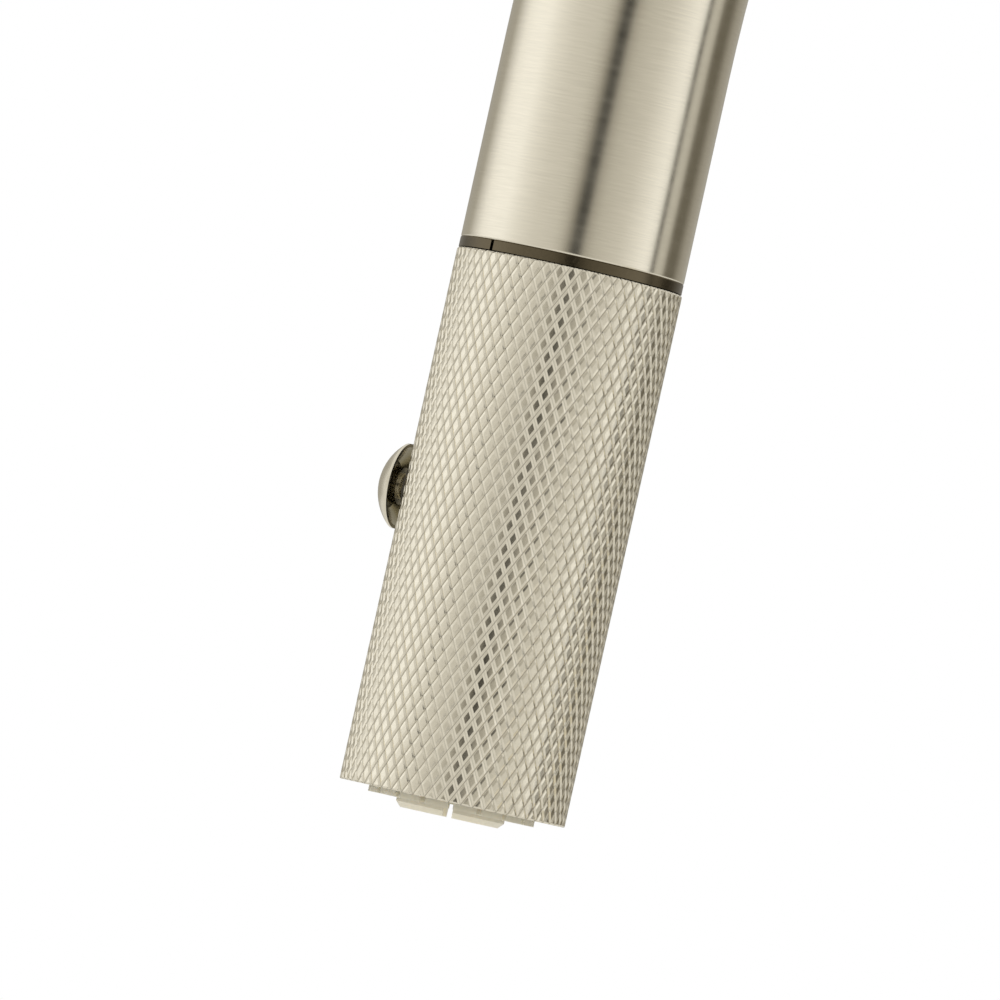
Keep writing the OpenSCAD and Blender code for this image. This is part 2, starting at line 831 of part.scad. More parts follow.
module button_guide() {
    groove_q = guide_groove_q - guide_groove_w / 2;
    color(dark_nylon) at_button() difference() {
        translate([0, 0, guide_in]) cylinder(r = guide_r, h = guide_out - guide_in);
        translate([0, 0, guide_in - over])
            cylinder(r = diverter_seat_r, h = guide_neck - guide_in + over);
        translate([0, 0, guide_in]) cylinder(r = button_stem_r + press_gap, h = guide_out);
        translate([0, 0, groove_q]) cylinder(r = guide_groove_r, h = guide_groove_w);
        translate([0, 0, spray_q]) rotate([90, 0, 0]) cylinder(r = spray_r, h = diverter_r + over);
    }
}

module guide_seal() {
    color(rubber) at_button() translate([0, 0, guide_groove_q])
        wire_ring(button_stem_r + pin_gap + guide_wire_r, guide_wire_r);
}

module button_cap() {
    cap_r = button_d / 2;
    crown = button_h - cap_band_h;
    dome_r = (pow(cap_r, 2) + pow(crown, 2)) / (2 * crown);
    dome_z = button_h - dome_r;
    rim_angle = asin((cap_band_h - dome_z) / dome_r);
    turn = (90 - rim_angle) / cap_steps;
    dome = [
        for (i = [0:cap_steps - 1])
            [dome_r * cos(rim_angle + i * turn), dome_z + dome_r * sin(rim_angle + i * turn)]
    ];
    seat_r = button_stem_r + press_gap;
    seat_top = cap_boss_start + stem_seat_h;
    seat = [[0, button_h], [0, seat_top], [seat_r, seat_top], [seat_r, cap_boss_start]];
    hollow = [
        [cap_boss_r, cap_boss_start], [cap_boss_r, cap_hollow_h], [cap_hollow_top_r, cap_hollow_h],
        [cap_hollow_r, cap_hollow_step], [cap_hollow_r, 0]
    ];
    color(nickel) at_button() translate([0, 0, cap_rim])
        rotate_extrude() polygon(concat([[cap_r, 0]], dome, seat, hollow));
}

module button_stem() {
    front = spool_front - spool_seal_t;
    back = spool_back + spool_seal_t;
    tip = cap_rim + cap_boss_start + stem_seat_h - press_gap;
    color(nickel) at_button() {
        translate([0, 0, front - over])
            cylinder(r = button_stem_r, h = tip - front + over);
        translate([0, 0, front - land_h]) cylinder(r = land_r, h = land_h);
        translate([0, 0, back]) cylinder(r = land_waist_r, h = front - back);
        translate([0, 0, back]) cylinder(r = land_r, h = land_h);
        translate([0, 0, spool_back - spool_stub]) cylinder(r = button_stem_r, h = spool_stub + over);
        translate([0, 0, spool_back - spool_stub - spring_pin_len])
            cylinder(r = spring_pin_r, h = spring_pin_len + over);
    }
}

module spool_seals() {
    seal_in_r = button_stem_r + press_gap;
    color(rubber) at_button() {
        translate([0, 0, spool_front - spool_seal_t]) tube(land_r, seal_in_r, spool_seal_t);
        translate([0, 0, spool_back]) tube(land_r, seal_in_r, spool_seal_t);
    }
}

// The hidden spring keeps a coil's outside, inside and length
module button_spring() {
    low = -diverter_back + press_gap;
    high = spool_back - spool_stub - press_gap;
    color(steel) at_button() translate([0, 0, low])
        tube(spring_r + spring_wire_r, spring_r - spring_wire_r, high - low);
}

// Angles of the spray nozzle blocks
module at_blocks() {
    for (i = [0:nozzle_blocks - 1]) {
        rotate([0, 0, (i + 0.5) * 360 / nozzle_blocks]) children();
    }
}

module block_sector(turn, inner_r, outer_r, h) {
    rotate([0, 0, -turn / 2]) rotate_extrude(angle = turn)
        translate([inner_r, 0]) square([outer_r - inner_r, h]);
}

module face_plate() {
    plate_r = core_r;
    window = 360 / nozzle_blocks - nozzle_gap_turn + nozzle_window_turn;
    skirt_h = core_base + skirt_lap - press_gap - face_base;
    color(dark_nylon) at_wand() translate([0, 0, face_base]) difference() {
        cylinder(r = plate_r, h = skirt_h);
        translate([0, 0, face_t]) cylinder(r = plate_r - skirt_wall, h = skirt_h);
        translate([0, 0, -over]) cylinder(r = face_hole_r, h = face_t + 2 * over);
        translate([0, 0, -over]) at_blocks()
            block_sector(window, nozzle_in_r - press_gap, nozzle_out_r + press_gap, face_t + 2 * over);
    }
}

module spray_nozzles() {
    pad_out_r = core_r - skirt_wall - nozzle_pad_rim;
    pad_in_r = face_hole_r + nozzle_pad_lip;
    block_h = face_inset + nozzle_proud + face_t;
    block_turn = 360 / nozzle_blocks - nozzle_gap_turn;
    color(abs_nickel) at_wand() translate([0, 0, face_top]) difference() {
        union() {
            tube(pad_out_r, pad_in_r, nozzle_pad_t);
            translate([0, 0, -block_h]) at_blocks()
                block_sector(block_turn, nozzle_in_r, nozzle_out_r, block_h + nozzle_pad_t);
        }
        at_blocks() translate([(nozzle_in_r + nozzle_out_r) / 2, 0, -block_h - over])
            cylinder(r = nozzle_hole_r, h = block_h + nozzle_pad_t + 2 * over, $fn = 24);
    }
}

module aerator_body() {
    foot = -wand_len - aerator_proud;
    bore = aerator_r - aerator_wall;
    slot_h = aerator_proud - aerator_slot_rest;
    profile = [
        [bore, foot], [aerator_r - aerator_corner, foot], [aerator_r, foot + aerator_corner],
        [aerator_r, aerator_top], [bore - aerator_ledge, aerator_top],
        [bore - aerator_ledge, -wand_len + screen_t + press_gap], [bore, -wand_len + screen_t + press_gap]
    ];
    color(abs_nickel) at_wand() difference() {
        rotate_extrude() polygon(profile);
        translate([0, 0, aerator_groove_z - aerator_groove_h / 2])
            tube(aerator_r + over, aerator_r - aerator_groove_wall, aerator_groove_h);
        rotate([0, 0, aerator_turn]) translate([-aerator_r - over, -aerator_slot_w / 2, foot - over])
            cube([2 * (aerator_r + over), aerator_slot_w, slot_h + over]);
    }
}

module aerator_screen() {
    screen_r = aerator_r - aerator_wall - press_gap;
    color(abs_nickel) at_wand() translate([0, 0, -wand_len]) difference() {
        cylinder(r = screen_r, h = screen_t);
        translate([0, 0, -over]) cylinder(r = screen_hole_r, h = screen_t + 2 * over, $fn = 16);
        for (ring = [1:screen_rings]) {
            for (i = [0:6 * ring - 1]) {
                rotate([0, 0, i * 60 / ring]) translate([ring * screen_pitch, 0, -over])
                    cylinder(r = screen_hole_r, h = screen_t + 2 * over, $fn = 16);
            }
        }
    }
}

module aerator_seal() {
    color(rubber) at_wand() translate([0, 0, aerator_groove_z])
        wire_ring(aerator_r - aerator_groove_wall + press_gap + aerator_wire_r, aerator_wire_r);
}

module handle_cap() {
    rod_slot_start = rod_x - rod_r - wide_gap;
    rod_slot_end = pivot_x + rod_reach + wide_gap;
    slot_r = rod_r + wide_gap;
    color(nickel) difference() {
        union() {
            at_lever_axis(cap_x) cylinder(r = cap_r, h = cap_end - cap_x - edge);
            at_lever_axis(cap_end - edge) cylinder(r1 = cap_r, r2 = cap_r - edge, h = edge);
        }
        at_lever_axis(cap_cavity_x)
            cylinder(r = cap_r - cap_wall, h = cap_end - cap_face_t - cap_cavity_x);
        at_lever_axis(cap_x - over) cylinder(r = spindle_neck_r + press_gap, h = cap_floor_t + 2 * over);
        translate([rod_slot_start + slot_r, -slot_r, lever_z])
            cube([rod_slot_end - rod_slot_start - 2 * slot_r, 2 * slot_r, cap_r + over]);
        for (x = [rod_slot_start + slot_r, rod_slot_end - slot_r]) {
            translate([x, 0, lever_z]) cylinder(r = slot_r, h = cap_r + over);
        }
        translate([rod_x, 0, lever_z - cap_r - over]) cylinder(r = key_hole_r, h = cap_r + over);
    }
}

module spindle() {
    slot_high = stem_boss_r + armature_gap;
    color(white_nylon) difference() {
        union() {
            at_lever_axis(spindle_x) cylinder(r = spindle_r, h = spindle_wide_end - spindle_x);
            at_lever_axis(spindle_x) cylinder(r = spindle_neck_r, h = cap_cavity_x - spindle_x);
        }
        translate([spindle_x - over, -stem_slot_half, lever_z - slot_high])
            cube([pivot_x - spindle_x + over, 2 * stem_slot_half, slot_high + ball_slot_high]);
        translate([pivot_x, -stem_slot_half, lever_z - slot_low])
            cube([cap_cavity_x - pivot_x + over, 2 * stem_slot_half, slot_low + slot_high]);
        translate([pivot_x, -spindle_r - over, lever_z]) rotate([-90, 0, 0])
            cylinder(r = pin_r + pin_gap, h = 2 * (spindle_r + over));
    }
}

module stem_pin() {
    color(steel) translate([pivot_x, -pin_half, lever_z]) rotate([-90, 0, 0])
        cylinder(r = pin_r, h = 2 * pin_half);
}

// The moving disc and its carrier are one sliding pair, held together by two round keys
module at_keys() {
    for (side = [-1, 1]) {
        translate([0, side * key_ring_r, 0]) children();
    }
}

module moving_disc() {
    color(ceramic) translate([0, 0, disc_rest]) at_lever_axis(moving_disc_x) difference() {
        cylinder(r = moving_disc_r, h = disc_t);
        translate([disc_pocket_shift, 0, -over]) cylinder(r = disc_pocket_r, h = disc_pocket_t + over);
        translate([0, 0, disc_t - key_h - slip_gap]) at_keys()
            cylinder(r = key_r + press_gap, h = key_h + slip_gap + over);
    }
}

module disc_carrier() {
    color(dark_nylon) translate([0, 0, disc_rest]) at_lever_axis(carrier_x) difference() {
        union() {
            cylinder(r = moving_disc_r, h = carrier_t);
            translate([0, 0, -key_h]) at_keys() cylinder(r = key_r, h = key_h + over);
        }
        translate([disc_rest, 0, carrier_t - carrier_pocket_t])
            cylinder(r = ball_r + press_gap, h = carrier_pocket_t + over);
    }
}

module lever_stem() {
    color(steel) difference() {
        union() {
            translate([ball_x, 0, lever_z]) sphere(ball_r);
            at_lever_axis(ball_x) cylinder(r = stem_neck_r, h = ball_arm);
            translate([pivot_x, -stem_r, lever_z]) rotate([-90, 0, 0])
                cylinder(r = stem_boss_r, h = 2 * stem_r);
            at_lever_axis(pivot_x) cylinder(r = stem_r, h = hub_x + hub_len - edge - pivot_x);
        }
        translate([pivot_x, -stem_r - over, lever_z]) rotate([-90, 0, 0])
            cylinder(r = pin_r + pin_gap, h = 2 * (stem_r + over));
    }
}

module lever_hub() {
    color(steel) difference() {
        at_lever_axis(hub_x) cylinder(r = hub_r, h = hub_len);
        at_lever_axis(hub_x - over) cylinder(r = stem_r + press_gap, h = hub_len + 2 * over);
        translate([rod_x, 0, lever_z]) cylinder(r = rod_thread_r, h = hub_r + over);
        translate([rod_x, 0, lever_z - hub_r - over])
            cylinder(r = hub_screw_r + press_gap, h = hub_r + over);
    }
}

module hub_screw() {
    foot = hub_r - edge;
    color(steel) translate([rod_x, 0, lever_z - foot]) difference() {
        cylinder(r = hub_screw_r, h = foot - stem_r - press_gap);
        translate([0, 0, -over]) cylinder(r = hub_key_r, h = hub_key_depth + over, $fn = 6);
    }
}

module lever_rod() {
    color(nickel) translate([rod_x, 0, lever_z]) difference() {
        union() {
            translate([0, 0, stem_r + slip_gap]) cylinder(r = rod_thread_r - press_gap, h = hub_r);
            translate([0, 0, hub_r + slip_gap]) cylinder(r = rod_r, h = grip_end - hub_r - slip_gap);
        }
        translate([0, 0, grip_end - tip_stud_h - slip_gap])
            cylinder(r = tip_stud_r + press_gap, h = tip_stud_h + slip_gap + over);
    }
}

module lever_collar() {
    color(nickel) translate([rod_x, 0, lever_z + grip_start - collar_h])
        tube(rod_r + collar_wall, rod_r + press_gap, collar_h);
}

module lever_grip() {
    color(nickel) translate([rod_x, 0, lever_z + grip_start]) tube(grip_r, rod_r + press_gap, grip_len);
}

module lever_tip() {
    color(nickel) translate([rod_x, 0, lever_z + grip_end]) {
        cylinder(r = grip_r, h = tip_h - edge);
        translate([0, 0, tip_h - edge]) cylinder(r1 = grip_r, r2 = grip_r - edge, h = edge);
        translate([0, 0, -tip_stud_h]) cylinder(r = tip_stud_r, h = tip_stud_h + over);
    }
}

base_seal();
base_flange();
column_shell();
valve_body();
port_plate();
cartridge_sleeve();
side_sleeve();
thrust_washer();
lower_bushing();
upper_bushing();
spout_screw();
shank();
rubber_washer();
clamp_washer();
shank_nut();
clamp_screws();
shank_bush();
cartridge_base();
cartridge_housing();
fixed_disc();
cartridge_nut();
spout_tube();
spout_outlet();
dock_ring();
dock_magnet();
dock_sleeve();
hose_arch();
hose_inlet_fitting();
hose_end_run();
hose_ferrule();
hose_nut();
hose_seal();
check_valve();
wand_armature();
wand_shell();
wand_core();
button_guide();
guide_seal();
button_cap();
button_stem();
spool_seals();
button_spring();
face_plate();
spray_nozzles();
aerator_body();
aerator_screen();
aerator_seal();
handle_cap();
spindle();
stem_pin();
moving_disc();
disc_carrier();
lever_stem();
lever_hub();
hub_screw();
lever_rod();
lever_collar();
lever_grip();
lever_tip();
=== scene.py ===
"""Looks of a pull-out kitchen faucet: brushed gooseneck, knurled spray wand and lever grip, braided hose.

Everything is in metres in the CAD frame: +Z up the column, -Y out towards the wand, +X the lever's side.
"""

import json
import math

import bmesh
import bpy
import numpy as np
from bpy.props import FloatProperty, FloatVectorProperty, IntProperty, PointerProperty
from mathutils import Euler, Matrix, Vector


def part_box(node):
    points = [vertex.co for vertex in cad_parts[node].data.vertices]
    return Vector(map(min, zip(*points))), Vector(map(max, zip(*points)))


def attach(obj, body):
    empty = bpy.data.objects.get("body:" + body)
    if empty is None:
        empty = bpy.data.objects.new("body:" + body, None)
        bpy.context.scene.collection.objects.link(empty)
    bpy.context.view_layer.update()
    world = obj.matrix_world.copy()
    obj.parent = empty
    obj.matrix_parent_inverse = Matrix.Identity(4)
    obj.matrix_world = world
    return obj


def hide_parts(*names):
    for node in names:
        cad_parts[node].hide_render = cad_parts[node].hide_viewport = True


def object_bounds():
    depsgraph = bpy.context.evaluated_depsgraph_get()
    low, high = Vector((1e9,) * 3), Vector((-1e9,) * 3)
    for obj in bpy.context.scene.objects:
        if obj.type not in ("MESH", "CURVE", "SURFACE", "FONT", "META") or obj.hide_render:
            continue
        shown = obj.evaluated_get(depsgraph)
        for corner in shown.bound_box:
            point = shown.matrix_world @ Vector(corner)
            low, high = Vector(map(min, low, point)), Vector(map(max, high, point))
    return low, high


bl_info = {
    "name": "Pull-out faucet looks",
    "version": (1, 0, 0),
    "blender": (4, 5, 0),
    "location": "3D View > Sidebar > Faucet",
    "description": "Builds the wand, spout, braided hose, finishes and studio of a kitchen faucet",
    "category": "Object",
}

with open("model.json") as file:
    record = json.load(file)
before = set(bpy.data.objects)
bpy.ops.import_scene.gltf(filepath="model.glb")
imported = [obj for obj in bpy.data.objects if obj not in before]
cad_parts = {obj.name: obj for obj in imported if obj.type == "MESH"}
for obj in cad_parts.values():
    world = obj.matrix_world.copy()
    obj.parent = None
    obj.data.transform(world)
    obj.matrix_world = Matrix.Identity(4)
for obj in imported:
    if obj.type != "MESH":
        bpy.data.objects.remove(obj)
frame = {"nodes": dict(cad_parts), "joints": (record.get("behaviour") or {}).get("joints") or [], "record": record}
CAD_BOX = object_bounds()
MM = 0.001

# The wand's own frame: its origin is the middle of the sleeve's top, and +Z runs back up its axis
JOINTS = {joint["name"]: joint for joint in frame["joints"]}
WAND_UP = Vector(JOINTS["wand_turn"]["axis"]).normalized()
WAND_TOP = Vector(JOINTS["wand_turn"]["pos_m"])
LEAN = math.atan2(WAND_UP.y, WAND_UP.z)
AT_WAND = Matrix.Translation(WAND_TOP) @ Matrix.Rotation(-LEAN, 4, "X")
DOWNTURN = math.pi - LEAN

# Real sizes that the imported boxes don't give, in metres. The spout: a straight column, an arch, a long sweep,
# and a straight end that the docking ring closes
ARCH_RADIUS = 0.095
ARCH_TURN = math.radians(150)
SWEEP_RADIUS = 0.3
BEND_START = 0.335
TUBE_FOOT = 0.0841
END_RUN = 33 * MM
RING_ROOM = 1.6 * MM
TUBE_WALL = 1.5 * MM
# The wand's sleeve and the lever's grip
SLEEVE_EDGE = 0.3 * MM
SLEEVE_BORE = 15 * MM
SLEEVE_LIP = 6 * MM
BUTTON_DROP = 0.0361
BUTTON_HOLE = 5.2 * MM
GRIP_BORE = 4.05 * MM
GRIP_LIP = 3 * MM
LEVER_AXIS_Z = 0.058
# Knurling: the flat floor of each groove, how much painted shade the falling grooves' floors get next to the
# rising ones', and the broken edge at each end
FLOOR_WIDTH = 0.23 * MM
FALLING_FLOOR_SHADE_SHARE = 0.45
BEVEL = 0.25 * MM
# The hose's braid is modelled as relief where it shows below the deck, and is smooth inside the spout
BRAID_SHOWN = 30 * MM

# Points round each mesh, and the degrees between two of its faces above which their edge shades hard
TUBE_POINTS = 144
HOSE_POINTS = 96
TUBE_EDGE = 40
HOSE_EDGE = 60
KNURL_EDGE = 8

# A mesh point this close to a plane lies on it, in metres
ON_PLANE = 1e-6


def box_size(node):
    """Extents of a CAD node at rest."""
    low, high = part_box(node)
    return high - low


TUBE_RADIUS = box_size("spout_tube").x / 2
HOSE_RADIUS = box_size("hose_arch").x / 2
HOSE_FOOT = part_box("hose_arch")[0].z
SLEEVE_RADIUS = box_size("wand_shell").x / 2
# The tilt of the sleeve's two ends adds this to the height of its box
SLEEVE_SWING = 2 * (SLEEVE_RADIUS - SLEEVE_EDGE) * math.sin(LEAN)
SLEEVE_LENGTH = (box_size("wand_shell").z - SLEEVE_SWING) / math.cos(LEAN)
GRIP_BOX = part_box("lever_grip")
GRIP_RADIUS = box_size("lever_grip").x / 2
ROD_X = (GRIP_BOX[0].x + GRIP_BOX[1].x) / 2


def linear(code):
    """Linear RGBA of an sRGB hex colour."""
    shares = [int(code[i : i + 2], 16) / 255 for i in (0, 2, 4)]
    return [s / 12.92 if s <= 0.04045 else ((s + 0.055) / 1.055) ** 2.4 for s in shares] + [1.0]


def colour(name, description, code):
    """A colour that shows in the sidebar, from its sRGB hex value."""
    return FloatVectorProperty(
        name=name, description=description, subtype="COLOR", size=4, min=0, max=1, default=linear(code)
    )


def length(name, description, default):
    """A length that shows in the sidebar, in metres."""
    return FloatProperty(name=name, description=description, default=default, unit="LENGTH", precision=5)


def angle(name, description, degrees):
    """An angle that shows in the sidebar in degrees, and is kept in radians."""
    return FloatProperty(name=name, description=description, default=math.radians(degrees), subtype="ANGLE")


def number_of(name, description, default):
    """A whole number that shows in the sidebar."""
    return IntProperty(name=name, description=description, default=default, min=1)


class KnurlSizes(bpy.types.PropertyGroup):
    """Diamond knurling of the wand's sleeve and the lever's grip."""

    sleeve_count: number_of("Sleeve grooves", "Helical grooves each way round the wand", 58)
    grip_count: number_of("Grip grooves", "Helical grooves each way round the lever grip", 20)
    lead: length("Diamond length", "Length of one diamond along the axis", 3.6 * MM)
    depth: length("Groove depth", "Depth of each groove at its floor", 0.17 * MM)
    falling_width: length("Falling groove width", "Width of the grooves that fall to the right", 0.7 * MM)
    rising_width: length("Rising groove width", "Width of the grooves that rise to the right", 0.88 * MM)
    shoulder: length("Shoulder width", "Width of the worn shoulder beside each rising groove", 0.32 * MM)
    shoulder_drop: length("Shoulder drop", "How far the shoulder falls", 0.0725 * MM)
    dome: length("Diamond dome", "How far each diamond's edges fall below its middle", 0.012 * MM)


class HoseSizes(bpy.types.PropertyGroup):
    """Braid of the pull-out hose."""

    carriers: number_of("Carriers", "Flat bundles of thread each way round the hose", 12)
    lead: length("Braid lead", "Length of hose in which a bundle crosses one pitch", 4.4 * MM)
    relief: length("Braid relief", "How far the bundles stand out of their crossings", 0.32 * MM)


class FinishColours(bpy.types.PropertyGroup):
    """Colours of the faucet's finishes, and of the painted shade inside the button's cap."""

    nickel: colour("Brushed nickel", "Warm champagne nickel of every outside metal part", "F7F0DD")
    knurled: colour("Knurled nickel", "Nickel over the rolled knurling", "F8F1DE")
    plated: colour("Plated plastic", "Satin nickel on moulded plastic", "DDD6C2")
    brass: colour("Brass", "Machined brass under the deck and inside", "D6B173")
    steel: colour("Steel", "Zinc-plated and stainless steel", "C3C4C4")
    magnet: colour("Magnet", "Nickel-plated docking magnet", "8A8B8F")
    ceramic: colour("Ceramic", "Ground alumina discs", "EDEAE1")
    pale_nylon: colour("Pale nylon", "Natural acetal bushings and cartridge", "E4E0D2")
    dark_nylon: colour("Dark nylon", "Spray face and button guide", "3A3323")
    bronze: colour("Dark bronze", "Plated docking ring", "6E6450")
    # Painted shade: the darker colour of the button cap's inside, where it faces into the wand
    cast: colour("Cap inside shade", "Painted shade inside the button's cap", "8A8268")
    nozzles: colour("Nozzles", "Milky flexible nozzle blocks and aerator", "E8E2CF")
    rubber: colour("Rubber", "Black seals and washers", "242424")
    thread: colour("Hose thread", "Grey nylon braid of the hose", "77777A")


class StudioSettings(bpy.types.PropertyGroup):
    """Camera and light of the studio."""

    azimuth: angle("Camera azimuth", "Round the faucet, where 90 looks along -X", 109.78)
    elevation: angle("Camera elevation", "Above the horizon", -6.0)
    distance: length("Camera distance", "From the wand's rim to the camera", 1.85)
    view_width: length("View width", "Width that the camera sees at that distance", 0.1475)


class FaucetSettings(bpy.types.PropertyGroup):
    """Everything that a user would change."""

    knurl: PointerProperty(type=KnurlSizes)
    hose: PointerProperty(type=HoseSizes)
    finish: PointerProperty(type=FinishColours)
    studio: PointerProperty(type=StudioSettings)


# Meshes


def piece(name, mesh, material, body, replaced):
    """Puts a finished mesh in the scene, on its body, in place of the CAD nodes that it stands for."""
    made = bpy.data.objects.new(name, mesh)
    bpy.context.scene.collection.objects.link(made)
    mesh.materials.append(material)
    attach(made, body)
    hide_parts(*replaced)
    return made


def soften(mesh, degrees):
    """Shades a mesh smooth, with a hard edge wherever two faces meet at more than this."""
    mesh.shade_smooth()
    mesh.set_sharp_from_angle(angle=math.radians(degrees))


def mesh_of_rings(name, rings, along, closed=False):
    """Skins rings of points, shape (rings, points, 3), and maps them: U along the piece and V round it.

    along is each ring's distance down the piece. The point attribute grain has that distance as its third
    number, and the place round the ring as the first two, so that a texture runs round it without a seam.
    """
    count, around = rings.shape[:2]
    spans = count if closed else count - 1
    ring, point = np.indices((spans, around))
    after, beside = (ring + 1) % count, (point + 1) % around
    quads = np.stack(
        [ring * around + point, ring * around + beside, after * around + beside, after * around + point], -1
    ).reshape(-1, 4)
    mesh = bpy.data.meshes.new(name)
    mesh.from_pydata(rings.reshape(-1, 3).tolist(), [], quads.tolist())
    u = np.stack([along[ring], along[ring], along[after], along[after]], -1)
    v = np.stack([point, point + 1, point + 1, point], -1) / around
    mesh.uv_layers.new(name="turns").data.foreach_set("uv", np.stack([u, v], -1).astype(np.float32).ravel())
    turn = 2 * math.pi * np.arange(around) / around
    grain = np.empty((count, around, 3), np.float32)
    grain[..., 0] = TUBE_RADIUS * np.cos(turn)
    grain[..., 1] = TUBE_RADIUS * np.sin(turn)
    grain[..., 2] = along[:, None]
    mesh.attributes.new("grain", "FLOAT_VECTOR", "POINT").data.foreach_set("vector", grain.ravel())
    mesh.validate()
    return mesh


def route(start, turned, legs):
    """Centreline in the faucet's middle plane: rows of y, z, turn from straight up, and distance along it.

    legs are ("run", length, step) and ("bend", radius, turn, step), where step is the spacing of the rows.
    """
    y, z = start
    rows = [(y, z, turned, 0.0)]
    gone = 0.0
    for kind, size, *rest in legs:
        if kind == "run":
            steps = max(1, round(size / rest[0]))
            for i in range(1, steps + 1):
                part = size * i / steps
                rows.append((y - part * math.sin(turned), z + part * math.cos(turned), turned, gone + part))
            y, z = rows[-1][:2]
            gone += size
        else:
            steps = max(1, round(size * rest[0] / rest[1]))
            for i in range(1, steps + 1):
                now = turned + rest[0] * i / steps
                rows.append(
                    (
                        y - size * (math.cos(turned) - math.cos(now)),
                        z + size * (math.sin(now) - math.sin(turned)),
                        now,
                        gone + size * rest[0] * i / steps,
                    )
                )
            y, z = rows[-1][:2]
            turned += rest[0]
            gone += size * rest[0]
    return np.array(rows)


def rings_along(rows, radius, around):
    """Rings of points round a route. radius is one number per row, or one per point."""
    turn = 2 * math.pi * np.arange(around) / around
    radius = np.asarray(radius, float).reshape(len(rows), -1)
    side = radius * np.sin(turn)
    return np.stack(
        [
            radius * np.cos(turn),
            rows[:, :1] + side * np.cos(rows[:, 2:3]),
            rows[:, 1:2] + side * np.sin(rows[:, 2:3]),
        ],
        -1,
    )


def tube_rows():
    """Route of the spout from its foot in the column to the docking ring."""
    # Two short steps at the end keep the broken edge's shading off the long straight
    end_run, last_step = END_RUN - RING_ROOM, 0.5 * MM
    return route(
        (0.0, TUBE_FOOT),
        0.0,
        [
            ("run", BEND_START - TUBE_FOOT, 50 * MM),
            ("bend", ARCH_RADIUS, ARCH_TURN, 3 * MM),
            ("bend", SWEEP_RADIUS, DOWNTURN - ARCH_TURN, 5 * MM),
            ("run", end_run - 2 * last_step, 20 * MM),
            ("run", 2 * last_step, last_step),
        ],
    )


def spout_mesh():
    """One bent tube with a wall, its end faced square with a broken edge."""
    edge, edge_shares = 0.35 * MM, (0.3, 0.7, 1.0)
    rows = tube_rows()
    outer, inner = TUBE_RADIUS, TUBE_RADIUS - TUBE_WALL
    last = rows[-1]
    back = np.array([math.sin(last[2]), -math.cos(last[2])]) * edge
    body = rows.copy()
    body[-1, :2] += back
    body[-1, 3] -= edge
    path, radii = [body], [np.full(len(body), outer)]
    for share in edge_shares:
        turn = share * math.pi / 2
        row = last.copy()
        row[:2] += back * (1 - math.sin(turn))
        path.append(row[None])
        radii.append([outer - edge * (1 - math.cos(turn))])
    for radius in (outer - TUBE_WALL / 2, inner + edge):
        path.append(last[None])
        radii.append([radius])
    path.append(body[::-1])
    radii.append(np.full(len(body), inner))
    path, radii = np.concatenate(path), np.concatenate(radii)
    rings = rings_along(path, radii, TUBE_POINTS)
    mesh = mesh_of_rings("spout", rings, path[:, 3], closed=True)
    soften(mesh, TUBE_EDGE)
    return mesh


